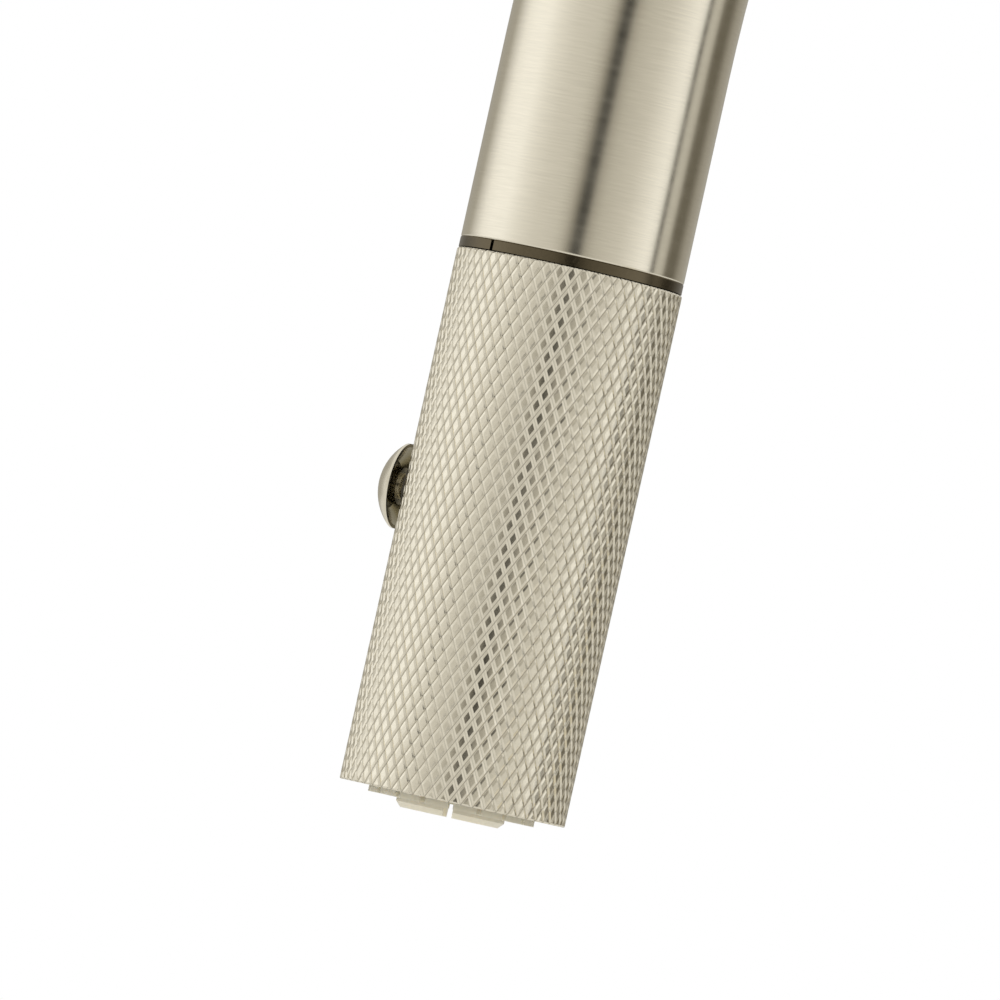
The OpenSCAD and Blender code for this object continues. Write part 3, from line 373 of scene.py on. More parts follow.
def knurled_barrel(name, sizes, count, radius, bore, tall, lip):
    """A barrel on z = 0 to tall, with two crossing sets of grooves and its crests on the radius.

    Each groove is a V with a narrow flat floor, as a knurling wheel leaves it, and those that rise to the
    right have worn shoulders too. Each diamond is laid out on its own two groove directions: p counts across
    the falling grooves and q across the rising ones, in shares of a pitch, so that the grooves' floors and
    edges are mesh edges. lip is how far the bore goes in from each end. The point attribute floor is 1 along
    the rising grooves' floors.
    """
    lead, across = sizes.lead, 2 * math.pi * radius / count
    pitch = across * lead / math.hypot(across, lead)
    crease = FLOOR_WIDTH / 2 / pitch
    falling, rising = sizes.falling_width / 2 / pitch, sizes.rising_width / 2 / pitch
    worn = rising - sizes.shoulder / pitch
    near_floor = sizes.depth - sizes.depth * crease / falling
    p_edges, q_edges = [0.0, crease, falling, 0.5], [0.0, crease, worn, rising, 0.5]
    p_sunk = [sizes.depth, near_floor, 0.0, 0.0]
    q_sunk = [sizes.depth, near_floor, sizes.shoulder_drop, 0.0, 0.0]
    p_steps = np.array([*p_edges, *(1 - e for e in p_edges[-2:0:-1])])
    q_steps = np.array([*q_edges, *(1 - e for e in q_edges[-2:0:-1])])
    parts, q_parts = len(p_steps), len(q_steps)
    # The rows of diamonds start below the barrel and end above it, and are cut to its length
    spare = 2
    first, last = -spare, math.ceil(2 * tall / lead) + spare
    rows = last - first + 1
    a, d, p, q = np.indices((count, rows, parts, q_parts))
    height = (d + first + p_steps[p] - q_steps[q]) * lead / 2
    turn = (2 * a - d - first + p_steps[p] + q_steps[q]) * math.pi / count
    p_near, q_near = np.minimum(p_steps[p], 1 - p_steps[p]), np.minimum(q_steps[q], 1 - q_steps[q])
    sunk = np.maximum(np.interp(p_near, p_edges, p_sunk), np.interp(q_near, q_edges, q_sunk))
    r = radius - sunk - 2 * sizes.dome * (1 - p_near - q_near)
    # The floor attribute tells the material where to paint shade into the groove floors: all of it along the
    # rising grooves, a share of it along the falling ones
    floor = np.maximum(FALLING_FLOOR_SHADE_SHARE * (p_near < crease / 2), q_near < crease / 2).astype(np.float32)
    points = np.stack([r * np.cos(turn), r * np.sin(turn), height], -1).reshape(-1, 3)

    def index(a, d, p, q):
        return ((a % count * rows + d) * parts + p) * q_parts + q

    p_on, q_on = (p + 1) // parts, (q + 1) // q_parts
    p_next, q_next = (p + 1) % parts, (q + 1) % q_parts
    corners = np.stack(
        [
            index(a, d, p, q),
            index(a + p_on, d + p_on, p_next, q),
            index(a + p_on, d + p_on - q_on, p_next, q_next),
            index(a, d - q_on, p, q_next),
        ],
        -1,
    )
    inside = (d + p_on < rows) & (d - q_on >= 0) & (d + p_on - q_on >= 0) & (d + p_on - q_on < rows)
    quads = corners[inside][:, ::-1]

    mesh = bpy.data.meshes.new(name)
    mesh.from_pydata(points.tolist(), [], quads.tolist())
    mesh.attributes.new("floor", "FLOAT", "POINT").data.foreach_set("value", floor.ravel())
    bm = bmesh.new()
    bm.from_mesh(mesh)
    bmesh.ops.delete(bm, geom=[v for v in bm.verts if not v.link_faces], context="VERTS")
    for end, facing in ((0.0, -1), (tall, 1)):
        for level in (end - facing * BEVEL, end):
            bmesh.ops.bisect_plane(
                bm,
                geom=bm.verts[:] + bm.edges[:] + bm.faces[:],
                dist=ON_PLANE / 10,
                plane_co=(0, 0, level),
                plane_no=(0, 0, facing),
                clear_outer=level == end,
            )
        rim = [e for e in bm.edges if e.is_boundary and all(abs(v.co.z - end) < ON_PLANE for v in e.verts)]
        # The end's ring moves in, which breaks the edge
        for v in {v for e in rim for v in e.verts}:
            inward = min(1.0, (radius - BEVEL) / math.hypot(v.co.x, v.co.y))
            v.co.x *= inward
            v.co.y *= inward
        # From it a flat end runs to the bore, and the bore's wall goes in
        for z in (end, end - facing * lip):
            grown = bmesh.ops.extrude_edge_only(bm, edges=rim)["geom"]
            for v in (g for g in grown if isinstance(g, bmesh.types.BMVert)):
                out = Vector((v.co.x, v.co.y)).normalized() * bore
                v.co = (out.x, out.y, z)
            rim = [g for g in grown if isinstance(g, bmesh.types.BMEdge)]
    bmesh.ops.recalc_face_normals(bm, faces=bm.faces)
    bm.to_mesh(mesh)
    bm.free()
    return mesh


def drill(mesh, drop, hole):
    """Opens the button's hole in the wand's sleeve, on its -Y side, this far below the top.

    The faces inside the hole go, the edges round it move out onto its circle, and a wall runs in to the bore.
    """
    # The other side's points count as a metre away, and the rim's lie within this share of the hole
    far, near_share = 1.0, 1.3
    bm = bmesh.new()
    bm.from_mesh(mesh)
    at = {v: math.hypot(v.co.x, v.co.z + drop) for v in bm.verts if v.co.y < 0}
    gone = [f for f in bm.faces if all(at.get(v, far) < hole for v in f.verts)]
    bmesh.ops.delete(bm, geom=gone, context="FACES")
    bmesh.ops.delete(bm, geom=[v for v in bm.verts if not v.link_faces], context="VERTS")
    rim = [e for e in bm.edges if e.is_boundary and all(at.get(v, far) < near_share * hole for v in e.verts)]
    for v in {v for e in rim for v in e.verts}:
        out = math.hypot(v.co.x, v.co.y)
        grow = hole / at[v]
        v.co.x *= grow
        v.co.z = (v.co.z + drop) * grow - drop
        v.co.y = -math.sqrt(out**2 - v.co.x**2)
    grown = bmesh.ops.extrude_edge_only(bm, edges=rim)["geom"]
    for v in (g for g in grown if isinstance(g, bmesh.types.BMVert)):
        v.co.y = -math.sqrt(SLEEVE_BORE**2 - v.co.x**2)
    bmesh.ops.recalc_face_normals(bm, faces=bm.faces)
    bm.to_mesh(mesh)
    bm.free()


def braid_relief(u, v, carriers, lead, relief):
    """How far a braided hose's skin lies under its outside, at u metres along and v shares of a turn."""
    one, other = carriers * v + u / lead, carriers * v - u / lead
    across_one, across_other = 2 * (one % 1) - 1, 2 * (other % 1) - 1
    over = (np.floor(one) + np.floor(other)) % 2 < 1
    narrow = np.where(over, across_one, across_other)
    long = np.where(over, across_other, across_one)
    pillow = np.sqrt(1 - narrow**2) * np.sqrt(1 - long**4)
    return relief * (1 - pillow)


# Materials


def add(tree, kind, inputs=(), links=(), **settings):
    """Adds one node with its settings, gives its inputs their values, and links them."""
    made = tree.nodes.new(kind)
    for key, value in settings.items():
        setattr(made, key, value)
    for key, value in dict(inputs).items():
        made.inputs[key].default_value = value
    for key, source in dict(links).items():
        tree.links.new(source, made.inputs[key])
    return made


def blank(name, base, metallic, roughness):
    """A new material with its shader: (material, node tree, shader)."""
    made = bpy.data.materials.new(name)
    made.use_nodes = True
    shader = made.node_tree.nodes["Principled BSDF"]
    shader.inputs["Base Color"].default_value = list(base)
    shader.inputs["Metallic"].default_value = metallic
    shader.inputs["Roughness"].default_value = roughness
    made.diffuse_color = list(base)
    return made, made.node_tree, shader


def shade(tree, value, base, dark):
    """Colour output that goes from base times dark up to base as value goes from 0 to 1."""
    low = [c * dark for c in base[:3]] + [1.0]
    return add(tree, "ShaderNodeMix", {6: low, 7: list(base)}, {0: value}, data_type="RGBA").outputs[2]


def spread(tree, value, low, high):
    """Value output that carries a noise to low and high. Nearly all of a noise lies between 0.3 and 0.7."""
    return add(
        tree,
        "ShaderNodeMapRange",
        {"From Min": 0.3, "From Max": 0.7, "To Min": low, "To Max": high},
        {"Value": value},
    ).outputs["Result"]


def turned_place(tree, origin, tilt):
    """Coordinates that run round a turned part: x and y across its axis, z along the axis and out from it.

    origin is a point on the axis, and tilt the rotation that carries Z onto the axis.
    """
    place = add(tree, "ShaderNodeTexCoord")
    local = add(
        tree,
        "ShaderNodeMapping",
        {"Location": origin, "Rotation": tilt},
        {"Vector": place.outputs["Object"]},
        vector_type="TEXTURE",
    )
    parts = add(tree, "ShaderNodeSeparateXYZ", links={0: local.outputs[0]})
    flat = add(tree, "ShaderNodeVectorMath", {1: (1, 1, 0)}, {0: local.outputs[0]}, operation="MULTIPLY")
    out = add(tree, "ShaderNodeVectorMath", links={0: flat.outputs[0]}, operation="LENGTH")
    reach = add(
        tree, "ShaderNodeMath", links={0: parts.outputs["Z"], 1: out.outputs["Value"]}, operation="ADD"
    )
    return add(
        tree,
        "ShaderNodeCombineXYZ",
        links={0: parts.outputs["X"], 1: parts.outputs["Y"], 2: reach.outputs[0]},
    ).outputs[0]


def brushed_nickel(name, base, place=None, tangent=None):
    """Nickel-plated brass, satin-brushed on a belt: champagne metal with fine lines that run round the part.

    The lines smear every reflection along the axis and keep it crisp across, as on the real tube. place and
    tangent are for a CAD part; a skinned piece has its own grain attribute and map. Real brushing is about
    0.05 mm wide and is drawn three times as coarse, so that it shows.
    """
    line_mm, streak_mm = 0.16, 5.0
    made, tree, shader = blank(name, base, 1.0, 0.21)
    shader.inputs["Anisotropic"].default_value = 0.55
    if place is None:
        grain = add(tree, "ShaderNodeAttribute", attribute_name="grain").outputs["Vector"]
        run = add(tree, "ShaderNodeTangent", direction_type="UV_MAP", uv_map="turns")
    else:
        grain = turned_place(tree, *place)
        run = add(tree, "ShaderNodeTangent", direction_type="RADIAL", axis=tangent)
        shader.inputs["Anisotropic Rotation"].default_value = 0.25
    tree.links.new(run.outputs[0], shader.inputs["Tangent"])
    drawn = add(
        tree,
        "ShaderNodeVectorMath",
        {1: (1 / (streak_mm * MM), 1 / (streak_mm * MM), 1 / (line_mm * MM))},
        {0: grain},
        operation="MULTIPLY",
    ).outputs[0]
    lines = add(
        tree, "ShaderNodeTexNoise", {"Scale": 1.0, "Detail": 5.0, "Roughness": 0.65}, {"Vector": drawn}
    )
    broad = add(
        tree, "ShaderNodeTexNoise", {"Scale": 0.12, "Detail": 3.0, "Roughness": 0.6}, {"Vector": drawn}
    )
    tree.links.new(shade(tree, spread(tree, lines.outputs[0], 0, 1), base, 0.91), shader.inputs["Base Color"])
    tree.links.new(spread(tree, broad.outputs[0], 0.19, 0.23), shader.inputs["Roughness"])
    bump = add(
        tree, "ShaderNodeBump", {"Strength": 0.2, "Distance": 0.004 * MM}, {"Height": lines.outputs[0]}
    )
    tree.links.new(bump.outputs[0], shader.inputs["Normal"])
    return made


def shade_cap_inside(metal, base, outward):
    """Paints shade into a cap's inside: a dull dark colour wherever the surface faces back from outward."""
    tree = metal.node_tree
    shader = tree.nodes["Principled BSDF"]
    brushed = shader.inputs["Base Color"].links[0].from_socket
    faced = add(tree, "ShaderNodeTexCoord").outputs["Normal"]
    out = add(tree, "ShaderNodeVectorMath", {1: tuple(outward)}, {0: faced}, operation="DOT_PRODUCT")
    faces_back = -0.15
    inside = add(tree, "ShaderNodeMath", {1: faces_back}, {0: out.outputs["Value"]}, operation="LESS_THAN")
    both = add(tree, "ShaderNodeMix", {7: list(base)}, {0: inside.outputs[0], 6: brushed}, data_type="RGBA")
    tree.links.new(both.outputs[2], shader.inputs["Base Color"])


def knurled_nickel(name, base):
    """Nickel-plated brass over rolled knurling: satin flats with a fine grain, and painted shade darkening the
    groove floors.
    """
    grain_mm, wear_mm, floor_shade_share = 0.5, 14.3, 0.45
    made, tree, shader = blank(name, base, 1.0, 0.2)
    place = add(tree, "ShaderNodeTexCoord").outputs["Object"]
    grain = add(tree, "ShaderNodeTexNoise", {"Scale": 1 / (grain_mm * MM), "Detail": 4.0}, {"Vector": place})
    worn = add(tree, "ShaderNodeTexNoise", {"Scale": 1 / (wear_mm * MM), "Detail": 3.0}, {"Vector": place})
    metal = shade(tree, spread(tree, grain.outputs[0], 0, 1), base, 0.93)
    # Painted shade: the colour darkens along the groove floors, as the shade in the creases
    floor = add(tree, "ShaderNodeAttribute", attribute_name="floor").outputs["Fac"]
    dim = [c * floor_shade_share for c in base[:3]] + [1.0]
    shaded_floors = add(tree, "ShaderNodeMix", {7: dim}, {0: floor, 6: metal}, data_type="RGBA")
    tree.links.new(shaded_floors.outputs[2], shader.inputs["Base Color"])
    tree.links.new(spread(tree, worn.outputs[0], 0.18, 0.24), shader.inputs["Roughness"])
    bump = add(
        tree, "ShaderNodeBump", {"Strength": 0.2, "Distance": 0.012 * MM}, {"Height": grain.outputs[0]}
    )
    tree.links.new(bump.outputs[0], shader.inputs["Normal"])
    return made


def grained(name, base, roughness, grain_mm, dark, relief_mm=0.01, metallic=0.0, stretch=(1, 1, 1)):
    """A surface with one grain: its size in millimetres, how dark its hollows are, and how deep they are."""
    vary_share = 0.15
    made, tree, shader = blank(name, base, metallic, roughness)
    place = add(tree, "ShaderNodeTexCoord").outputs["Object"]
    drawn = add(
        tree,
        "ShaderNodeVectorMath",
        {1: tuple(s / (grain_mm * MM) for s in stretch)},
        {0: place},
        operation="MULTIPLY",
    ).outputs[0]
    grain = add(
        tree, "ShaderNodeTexNoise", {"Scale": 1.0, "Detail": 4.0, "Roughness": 0.6}, {"Vector": drawn}
    )
    tree.links.new(shade(tree, spread(tree, grain.outputs[0], 0, 1), base, dark), shader.inputs["Base Color"])
    smooth, rough = roughness * (1 - vary_share), roughness * (1 + vary_share)
    tree.links.new(spread(tree, grain.outputs[0], smooth, rough), shader.inputs["Roughness"])
    bump = add(
        tree, "ShaderNodeBump", {"Strength": 0.3, "Distance": relief_mm * MM}, {"Height": grain.outputs[0]}
    )
    tree.links.new(bump.outputs[0], shader.inputs["Normal"])
    return made


def braided_nylon(name, base):
    """Nylon braid over a rubber hose: flat grey bundles of fine threads, with painted shade in the crossings."""
    thread_mm, crossing_shade_share = 0.3, 0.75
    made, tree, shader = blank(name, base, 0.0, 0.5)
    shader.inputs["Sheen Weight"].default_value = 0.15
    grain = add(tree, "ShaderNodeAttribute", attribute_name="grain").outputs["Vector"]
    threads = add(
        tree, "ShaderNodeTexNoise", {"Scale": 1 / (thread_mm * MM), "Detail": 3.0}, {"Vector": grain}
    )
    # Painted shade: the colour darkens as the bundles sink into their crossings
    depth = add(tree, "ShaderNodeAttribute", attribute_name="crossing").outputs["Fac"]
    lit = add(tree, "ShaderNodeMath", {1: -crossing_shade_share, 2: 1.0}, {0: depth}, operation="MULTIPLY_ADD")
    drawn = spread(tree, threads.outputs[0], 0.75, 1.0)
    both = add(tree, "ShaderNodeMath", links={0: lit.outputs[0], 1: drawn}, operation="MULTIPLY")
    tree.links.new(shade(tree, both.outputs[0], base, 0.12), shader.inputs["Base Color"])
    bump = add(
        tree, "ShaderNodeBump", {"Strength": 0.4, "Distance": 0.05 * MM}, {"Height": threads.outputs[0]}
    )
    tree.links.new(bump.outputs[0], shader.inputs["Normal"])
    return made


# How far red, green and blue light goes into pale plastic, as shares of its scale: nearly alike, so that no
# edge turns pink
DEPTH_SHARES = (1.0, 0.9, 0.75)


def see_into(material, weight, scale_mm):
    """Lets light a little way into a pale plastic."""
    shader = material.node_tree.nodes["Principled BSDF"]
    shader.inputs["Subsurface Weight"].default_value = weight
    shader.inputs["Subsurface Radius"].default_value = DEPTH_SHARES
    shader.inputs["Subsurface Scale"].default_value = scale_mm * MM


def finishes(colours):
    """The record's material slots that hold no brushed nickel, each as its real material."""
    made = {}
    # Machined brass, bright and yellow, with faint turning marks
    made["brass"] = grained(
        "turned_brass",
        colours.brass,
        roughness=0.28,
        grain_mm=0.4,
        dark=0.88,
        metallic=1.0,
        stretch=(0.05, 0.05, 1),
    )
    # Zinc-plated and stainless steel, grey and satin
    made["steel"] = grained(
        "satin_steel", colours.steel, roughness=0.3, grain_mm=0.6, dark=0.88, metallic=1.0
    )
    # Nickel-plated sintered magnet, darker and a little glossier than steel
    made["magnet"] = grained(
        "plated_magnet", colours.magnet, roughness=0.22, grain_mm=0.8, dark=0.9, metallic=1.0
    )
    # Ground alumina, white and dead smooth
    made["ceramic"] = grained(
        "ground_ceramic", colours.ceramic, roughness=0.25, grain_mm=0.3, dark=0.96, relief_mm=0.005
    )
    # Moulded natural acetal, a waxy off-white
    made["white_nylon"] = grained(
        "moulded_acetal", colours.pale_nylon, roughness=0.42, grain_mm=0.9, dark=0.95
    )
    see_into(made["white_nylon"], 0.15, 1.5)
    # Moulded glass-filled nylon, dark olive brown with a dull satin skin
    made["dark_nylon"] = grained(
        "moulded_dark_nylon", colours.dark_nylon, roughness=0.3, grain_mm=0.5, dark=0.8, relief_mm=0.02
    )
    # Nylon with a dark bronze plating, which mirrors the soft boxes faintly and is near black between them
    made["dock_ring"] = grained(
        "bronze_plated_ring", colours.bronze, roughness=0.24, grain_mm=0.5, dark=0.88, metallic=1.0
    )
    # Moulded ABS with satin nickel plating, smoother than the brushed metal
    made["plated_abs"] = grained(
        "plated_abs", colours.plated, roughness=0.24, grain_mm=1.2, dark=0.95, relief_mm=0.005, metallic=1.0
    )
    # Moulded thermoplastic elastomer, milky and slightly see-into
    made["nozzle_plastic"] = grained(
        "milky_elastomer", colours.nozzles, roughness=0.38, grain_mm=0.7, dark=0.93
    )
    see_into(made["nozzle_plastic"], 0.35, 1.2)
    # Moulded nitrile rubber, near black and matt
    made["rubber"] = grained(
        "moulded_rubber", colours.rubber, roughness=0.65, grain_mm=0.6, dark=0.75, relief_mm=0.02
    )
    return made


# Axes of the turned nickel parts: a point on the axis, and the rotation that carries Z onto it
UPRIGHT = ((0, 0, 0), (0, 0, 0))
SIDEWAYS = ((0, 0, LEVER_AXIS_Z), (0, math.pi / 2, 0))
ALONG_ROD = ((ROD_X, 0, 0), (0, 0, 0))
ALONG_WAND = (tuple(WAND_TOP), (-LEAN, 0, 0))
ALONG_BUTTON = (tuple(AT_WAND @ Vector((0, 0, -BUTTON_DROP))), (math.pi / 2 - LEAN, 0, 0))
# Each turned part's axis, and the main axis nearest to it, round which its tangent runs
TURNED_NODES = {
    "base_flange": (UPRIGHT, "Z"),
    "column_shell": (UPRIGHT, "Z"),
    "side_sleeve": (SIDEWAYS, "X"),
    "handle_cap": (SIDEWAYS, "X"),
    "lever_rod": (ALONG_ROD, "Z"),
    "lever_collar": (ALONG_ROD, "Z"),
    "lever_tip": (ALONG_ROD, "Z"),
    "hose_nut": (ALONG_WAND, "Z"),
    "button_cap": (ALONG_BUTTON, "Y"),
    "button_stem": (ALONG_BUTTON, "Y"),
}


# Operators


class FAUCET_OT_spout(bpy.types.Operator):
    """Build the brushed gooseneck tube"""

    bl_idname = "faucet.spout"
    bl_label = "Brushed spout"

    def execute(self, context):
        colours = context.scene.faucet.finish
        metal = brushed_nickel("brushed_nickel_tube", colours.nickel)
        spout = piece("brushed_spout", spout_mesh(), metal, "spout", ["spout_tube", "spout_outlet"])
        # Left out of reflections, where the upright of the spout would draw a dull stripe down its outlet
        spout.visible_glossy = False
        return {"FINISHED"}


class FAUCET_OT_wand_sleeve(bpy.types.Operator):
    """Build the spray wand's knurled sleeve"""

    bl_idname = "faucet.wand_sleeve"
    bl_label = "Knurled wand sleeve"

    def execute(self, context):
        sizes, colours = context.scene.faucet.knurl, context.scene.faucet.finish
        mesh = knurled_barrel(
            "wand_sleeve",
            sizes,
            sizes.sleeve_count,
            SLEEVE_RADIUS,
            SLEEVE_BORE,
            SLEEVE_LENGTH,
            SLEEVE_LIP,
        )
        mesh.transform(Matrix.Translation((0, 0, -SLEEVE_LENGTH)))
        drill(mesh, BUTTON_DROP, BUTTON_HOLE)
        mesh.transform(AT_WAND)
        soften(mesh, KNURL_EDGE)
        metal = knurled_nickel("knurled_nickel_sleeve", colours.knurled)
        piece("knurled_sleeve", mesh, metal, "wand", ["wand_shell"])
        return {"FINISHED"}


class FAUCET_OT_lever_grip(bpy.types.Operator):
    """Build the lever's knurled grip"""

    bl_idname = "faucet.lever_grip"
    bl_label = "Knurled lever grip"

    def execute(self, context):
        sizes, colours = context.scene.faucet.knurl, context.scene.faucet.finish
        mesh = knurled_barrel(
            "lever_grip",
            sizes,
            sizes.grip_count,
            GRIP_RADIUS,
            GRIP_BORE,
            box_size("lever_grip").z,
            GRIP_LIP,
        )
        mesh.transform(Matrix.Translation((ROD_X, 0, GRIP_BOX[0].z)))
        soften(mesh, KNURL_EDGE)
        metal = knurled_nickel("knurled_nickel_grip", colours.knurled)
        piece("knurled_grip", mesh, metal, "lever", ["lever_grip"])
        return {"FINISHED"}


class FAUCET_OT_hose(bpy.types.Operator):
    """Build the braided pull-out hose: its arch in the spout and its straight end on the wand"""

    bl_idname = "faucet.hose"
    bl_label = "Braided hose"

    def execute(self, context):
        sizes, colours = context.scene.faucet.hose, context.scene.faucet.finish
        braid = braided_nylon("braided_nylon_hose", colours.thread)
        # The straight end runs up the wand's axis, and the arch is one bend that meets it at its top
        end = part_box("hose_end_run")
        reach = (end[1].z - WAND_TOP.z - HOSE_RADIUS * math.sin(LEAN)) / math.cos(LEAN)
        end_length = (end[1].z - end[0].z - 2 * HOSE_RADIUS * math.sin(LEAN)) / math.cos(LEAN)
        top = AT_WAND @ Vector((0, 0, reach))
        arc_radius = -top.y / (1 - math.cos(DOWNTURN))
        arc_start = top.z - arc_radius * math.sin(DOWNTURN)
        fine, coarse = 0.4 * MM, 2.2 * MM
        routes = {
            "braided_hose_arch": (
                (0.0, HOSE_FOOT),
                0.0,
                [
                    ("run", BRAID_SHOWN, fine),
                    ("run", arc_start - HOSE_FOOT - BRAID_SHOWN, coarse),
                    ("bend", arc_radius, DOWNTURN, coarse),
                ],
                "spout",
                "hose_arch",
            ),
            "braided_hose_end": (
                (top.y, top.z),
                DOWNTURN,
                [("run", end_length, fine)],
                "hose_end",
                "hose_end_run",
            ),
        }
        for name, (start, turned, legs, body, node) in routes.items():
            rows = route(start, turned, legs)
            along, shares = rows[:, 3:4], np.arange(HOSE_POINTS)[None] / HOSE_POINTS
            sunk = braid_relief(along, shares, sizes.carriers, sizes.lead, sizes.relief)
            if name == "braided_hose_arch":
                sunk = sunk * (along < BRAID_SHOWN)
            mesh = mesh_of_rings(name, rings_along(rows, HOSE_RADIUS - sunk, HOSE_POINTS), rows[:, 3])
            # How far each point sinks into a crossing, which the braid's material paints as shade
            crossing = mesh.attributes.new("crossing", "FLOAT", "POINT")
            crossing.data.foreach_set("value", (sunk / sizes.relief).astype(np.float32).ravel())
            soften(mesh, HOSE_EDGE)
            hose = piece(name, mesh, braid, body, [node])
            # It lies inside the spout, so it leaves the reflections with it
            hose.visible_glossy = False
        return {"FINISHED"}


class FAUCET_OT_turned_nickel(bpy.types.Operator):
    """Brush the turned nickel parts of the CAD model round their own axes"""

    bl_idname = "faucet.turned_nickel"
    bl_label = "Turned nickel finishes"

    def execute(self, context):
        colours = context.scene.faucet.finish
        for node, (place, tangent) in TURNED_NODES.items():
            metal = brushed_nickel("brushed_nickel_" + node, colours.nickel, place, tangent)
            # The cap's inside gets painted shade, a darker colour wherever it faces back into the wand
            if node == "button_cap":
                shade_cap_inside(metal, colours.cast, AT_WAND.to_3x3() @ Vector((0, -1, 0)))
            for slot in frame["nodes"][node].material_slots:
                slot.material = metal
        return {"FINISHED"}


class FAUCET_OT_fittings(bpy.types.Operator):
    """Finish the brass, steel, ceramic, plastic and rubber parts of the CAD model"""

    bl_idname = "faucet.fittings"
    bl_label = "Fitting finishes"

    def execute(self, context):
        made = finishes(context.scene.faucet.finish)
        slots = {row["node"]: row["material_slot"] for row in frame["record"]["subparts"]}
        for node, shown in frame["nodes"].items():
            if shown.hide_render or node in TURNED_NODES:
                continue
            finish = node if node in made else slots[node]
            if finish not in made:
                raise RuntimeError(f"{node} has no finish for its slot {finish}")
            for slot in shown.material_slots:
                slot.material = made[finish]
        return {"FINISHED"}


class FAUCET_OT_studio(bpy.types.Operator):
    """Build the pale floor, the soft lamps, the white room and the camera"""

    bl_idname = "faucet.studio"
    bl_label = "Studio"

    def execute(self, context):
        studio = context.scene.faucet.studio
        lay_floor()
        light_room(studio)
        hang_lamps()
        place_camera(studio)
        context.scene.view_settings.view_transform = "Standard"
        return {"FINISHED"}


# Studio


def lay_floor():
    """A pale floor just under the hose's end, which keeps the shadow and fades to the white room far off."""
    reach, gap, paint = 4.0, 0.5 * MM, linear("F4F4F2")
    fade_starts, fade_ends = 0.7, 2.0
    bm = bmesh.new()
    bmesh.ops.create_grid(bm, x_segments=8, y_segments=8, size=reach)
    mesh = bpy.data.meshes.new("floor")
    bm.to_mesh(mesh)
    bm.free()
    floor = bpy.data.objects.new("floor", mesh)
    floor.location = (0, 0, CAD_BOX[0].z - gap)
    bpy.context.scene.collection.objects.link(floor)
    floor.visible_glossy = False
    # Matt white paint, faintly mottled; past two metres it is the room's white
    made, tree, shader = blank("painted_floor", paint, 0.0, 0.9)
    place = add(tree, "ShaderNodeTexCoord").outputs["Object"]
    mottle = add(tree, "ShaderNodeTexNoise", {"Scale": 6.0, "Detail": 2.0}, {"Vector": place})
    mottled = shade(tree, spread(tree, mottle.outputs[0], 0, 1), paint, 0.98)
    tree.links.new(mottled, shader.inputs["Base Color"])
    away = add(tree, "ShaderNodeVectorMath", links={0: place}, operation="LENGTH")
    faded = add(
        tree,
        "ShaderNodeMapRange",
        {"From Min": fade_starts, "From Max": fade_ends},
        {"Value": away.outputs["Value"]},
        interpolation_type="SMOOTHSTEP",
    )
    seen = add(tree, "ShaderNodeLightPath").outputs["Is Camera Ray"]
    share = add(tree, "ShaderNodeMath", links={0: faded.outputs[0], 1: seen}, operation="MULTIPLY")
    glow = add(tree, "ShaderNodeEmission", {"Color": (1, 1, 1, 1), "Strength": 1.0})
    both = add(
        tree,
        "ShaderNodeMixShader",
        links={0: share.outputs[0], 1: shader.outputs[0], 2: glow.outputs[0]},
    )
    tree.links.new(both.outputs[0], tree.nodes["Material Output"].inputs["Surface"])
    mesh.materials.append(made)


# What stands round the faucet in the studio: degrees to the camera's right, and its brightness as a share of
# white. Soft boxes at both sides, a dark gap at the camera, black flags on the right, and grey card behind.
ROOM_LEVELS = (
    (-180, 0.36),
    (-138, 0.36),
    (-112, 0.92),
    (-98, 1.0),
    (-80, 1.0),
    (-62, 0.8),
    (-45, 0.66),
    (-22, 0.58),
    (-13, 0.46),
    (-6, 0.2),
    (-2, 0.0),
    (5, 0.0),
    (9, 0.32),
    (18, 0.47),
    (45, 0.62),
    (62, 0.8),
    (76, 0.95),
    (85, 0.88),
    (88, 0.0),
    (91, 0.05),
    (94, 0.55),
    (104, 0.5),
    (110, 0.12),
    (124, 0.12),
    (138, 0.3),
    (160, 0.38),
    (180, 0.36),
)
# The dimmer a soft box or card is, the warmer it is: the powers of its brightness that its red and blue are
WARMTH = (0.955, 1.11)
# They stand in a band round the wand, tilted as it is. Both are sines of the angle up from the wand's own
# level: the band's middle, and how far from it the band starts to give way to the walls and has gone
EYE_LEVEL = 0.07
BAND_SHARES = (0.21, 0.28)
# Linear colours of the room itself
WALL = (0.71, 0.7, 0.675, 1)
CEILING = (0.8, 0.8, 0.8, 1)
# Sines of the height at which the band gives way to the ceiling
CEILING_SHARES = (0.6, 0.95)


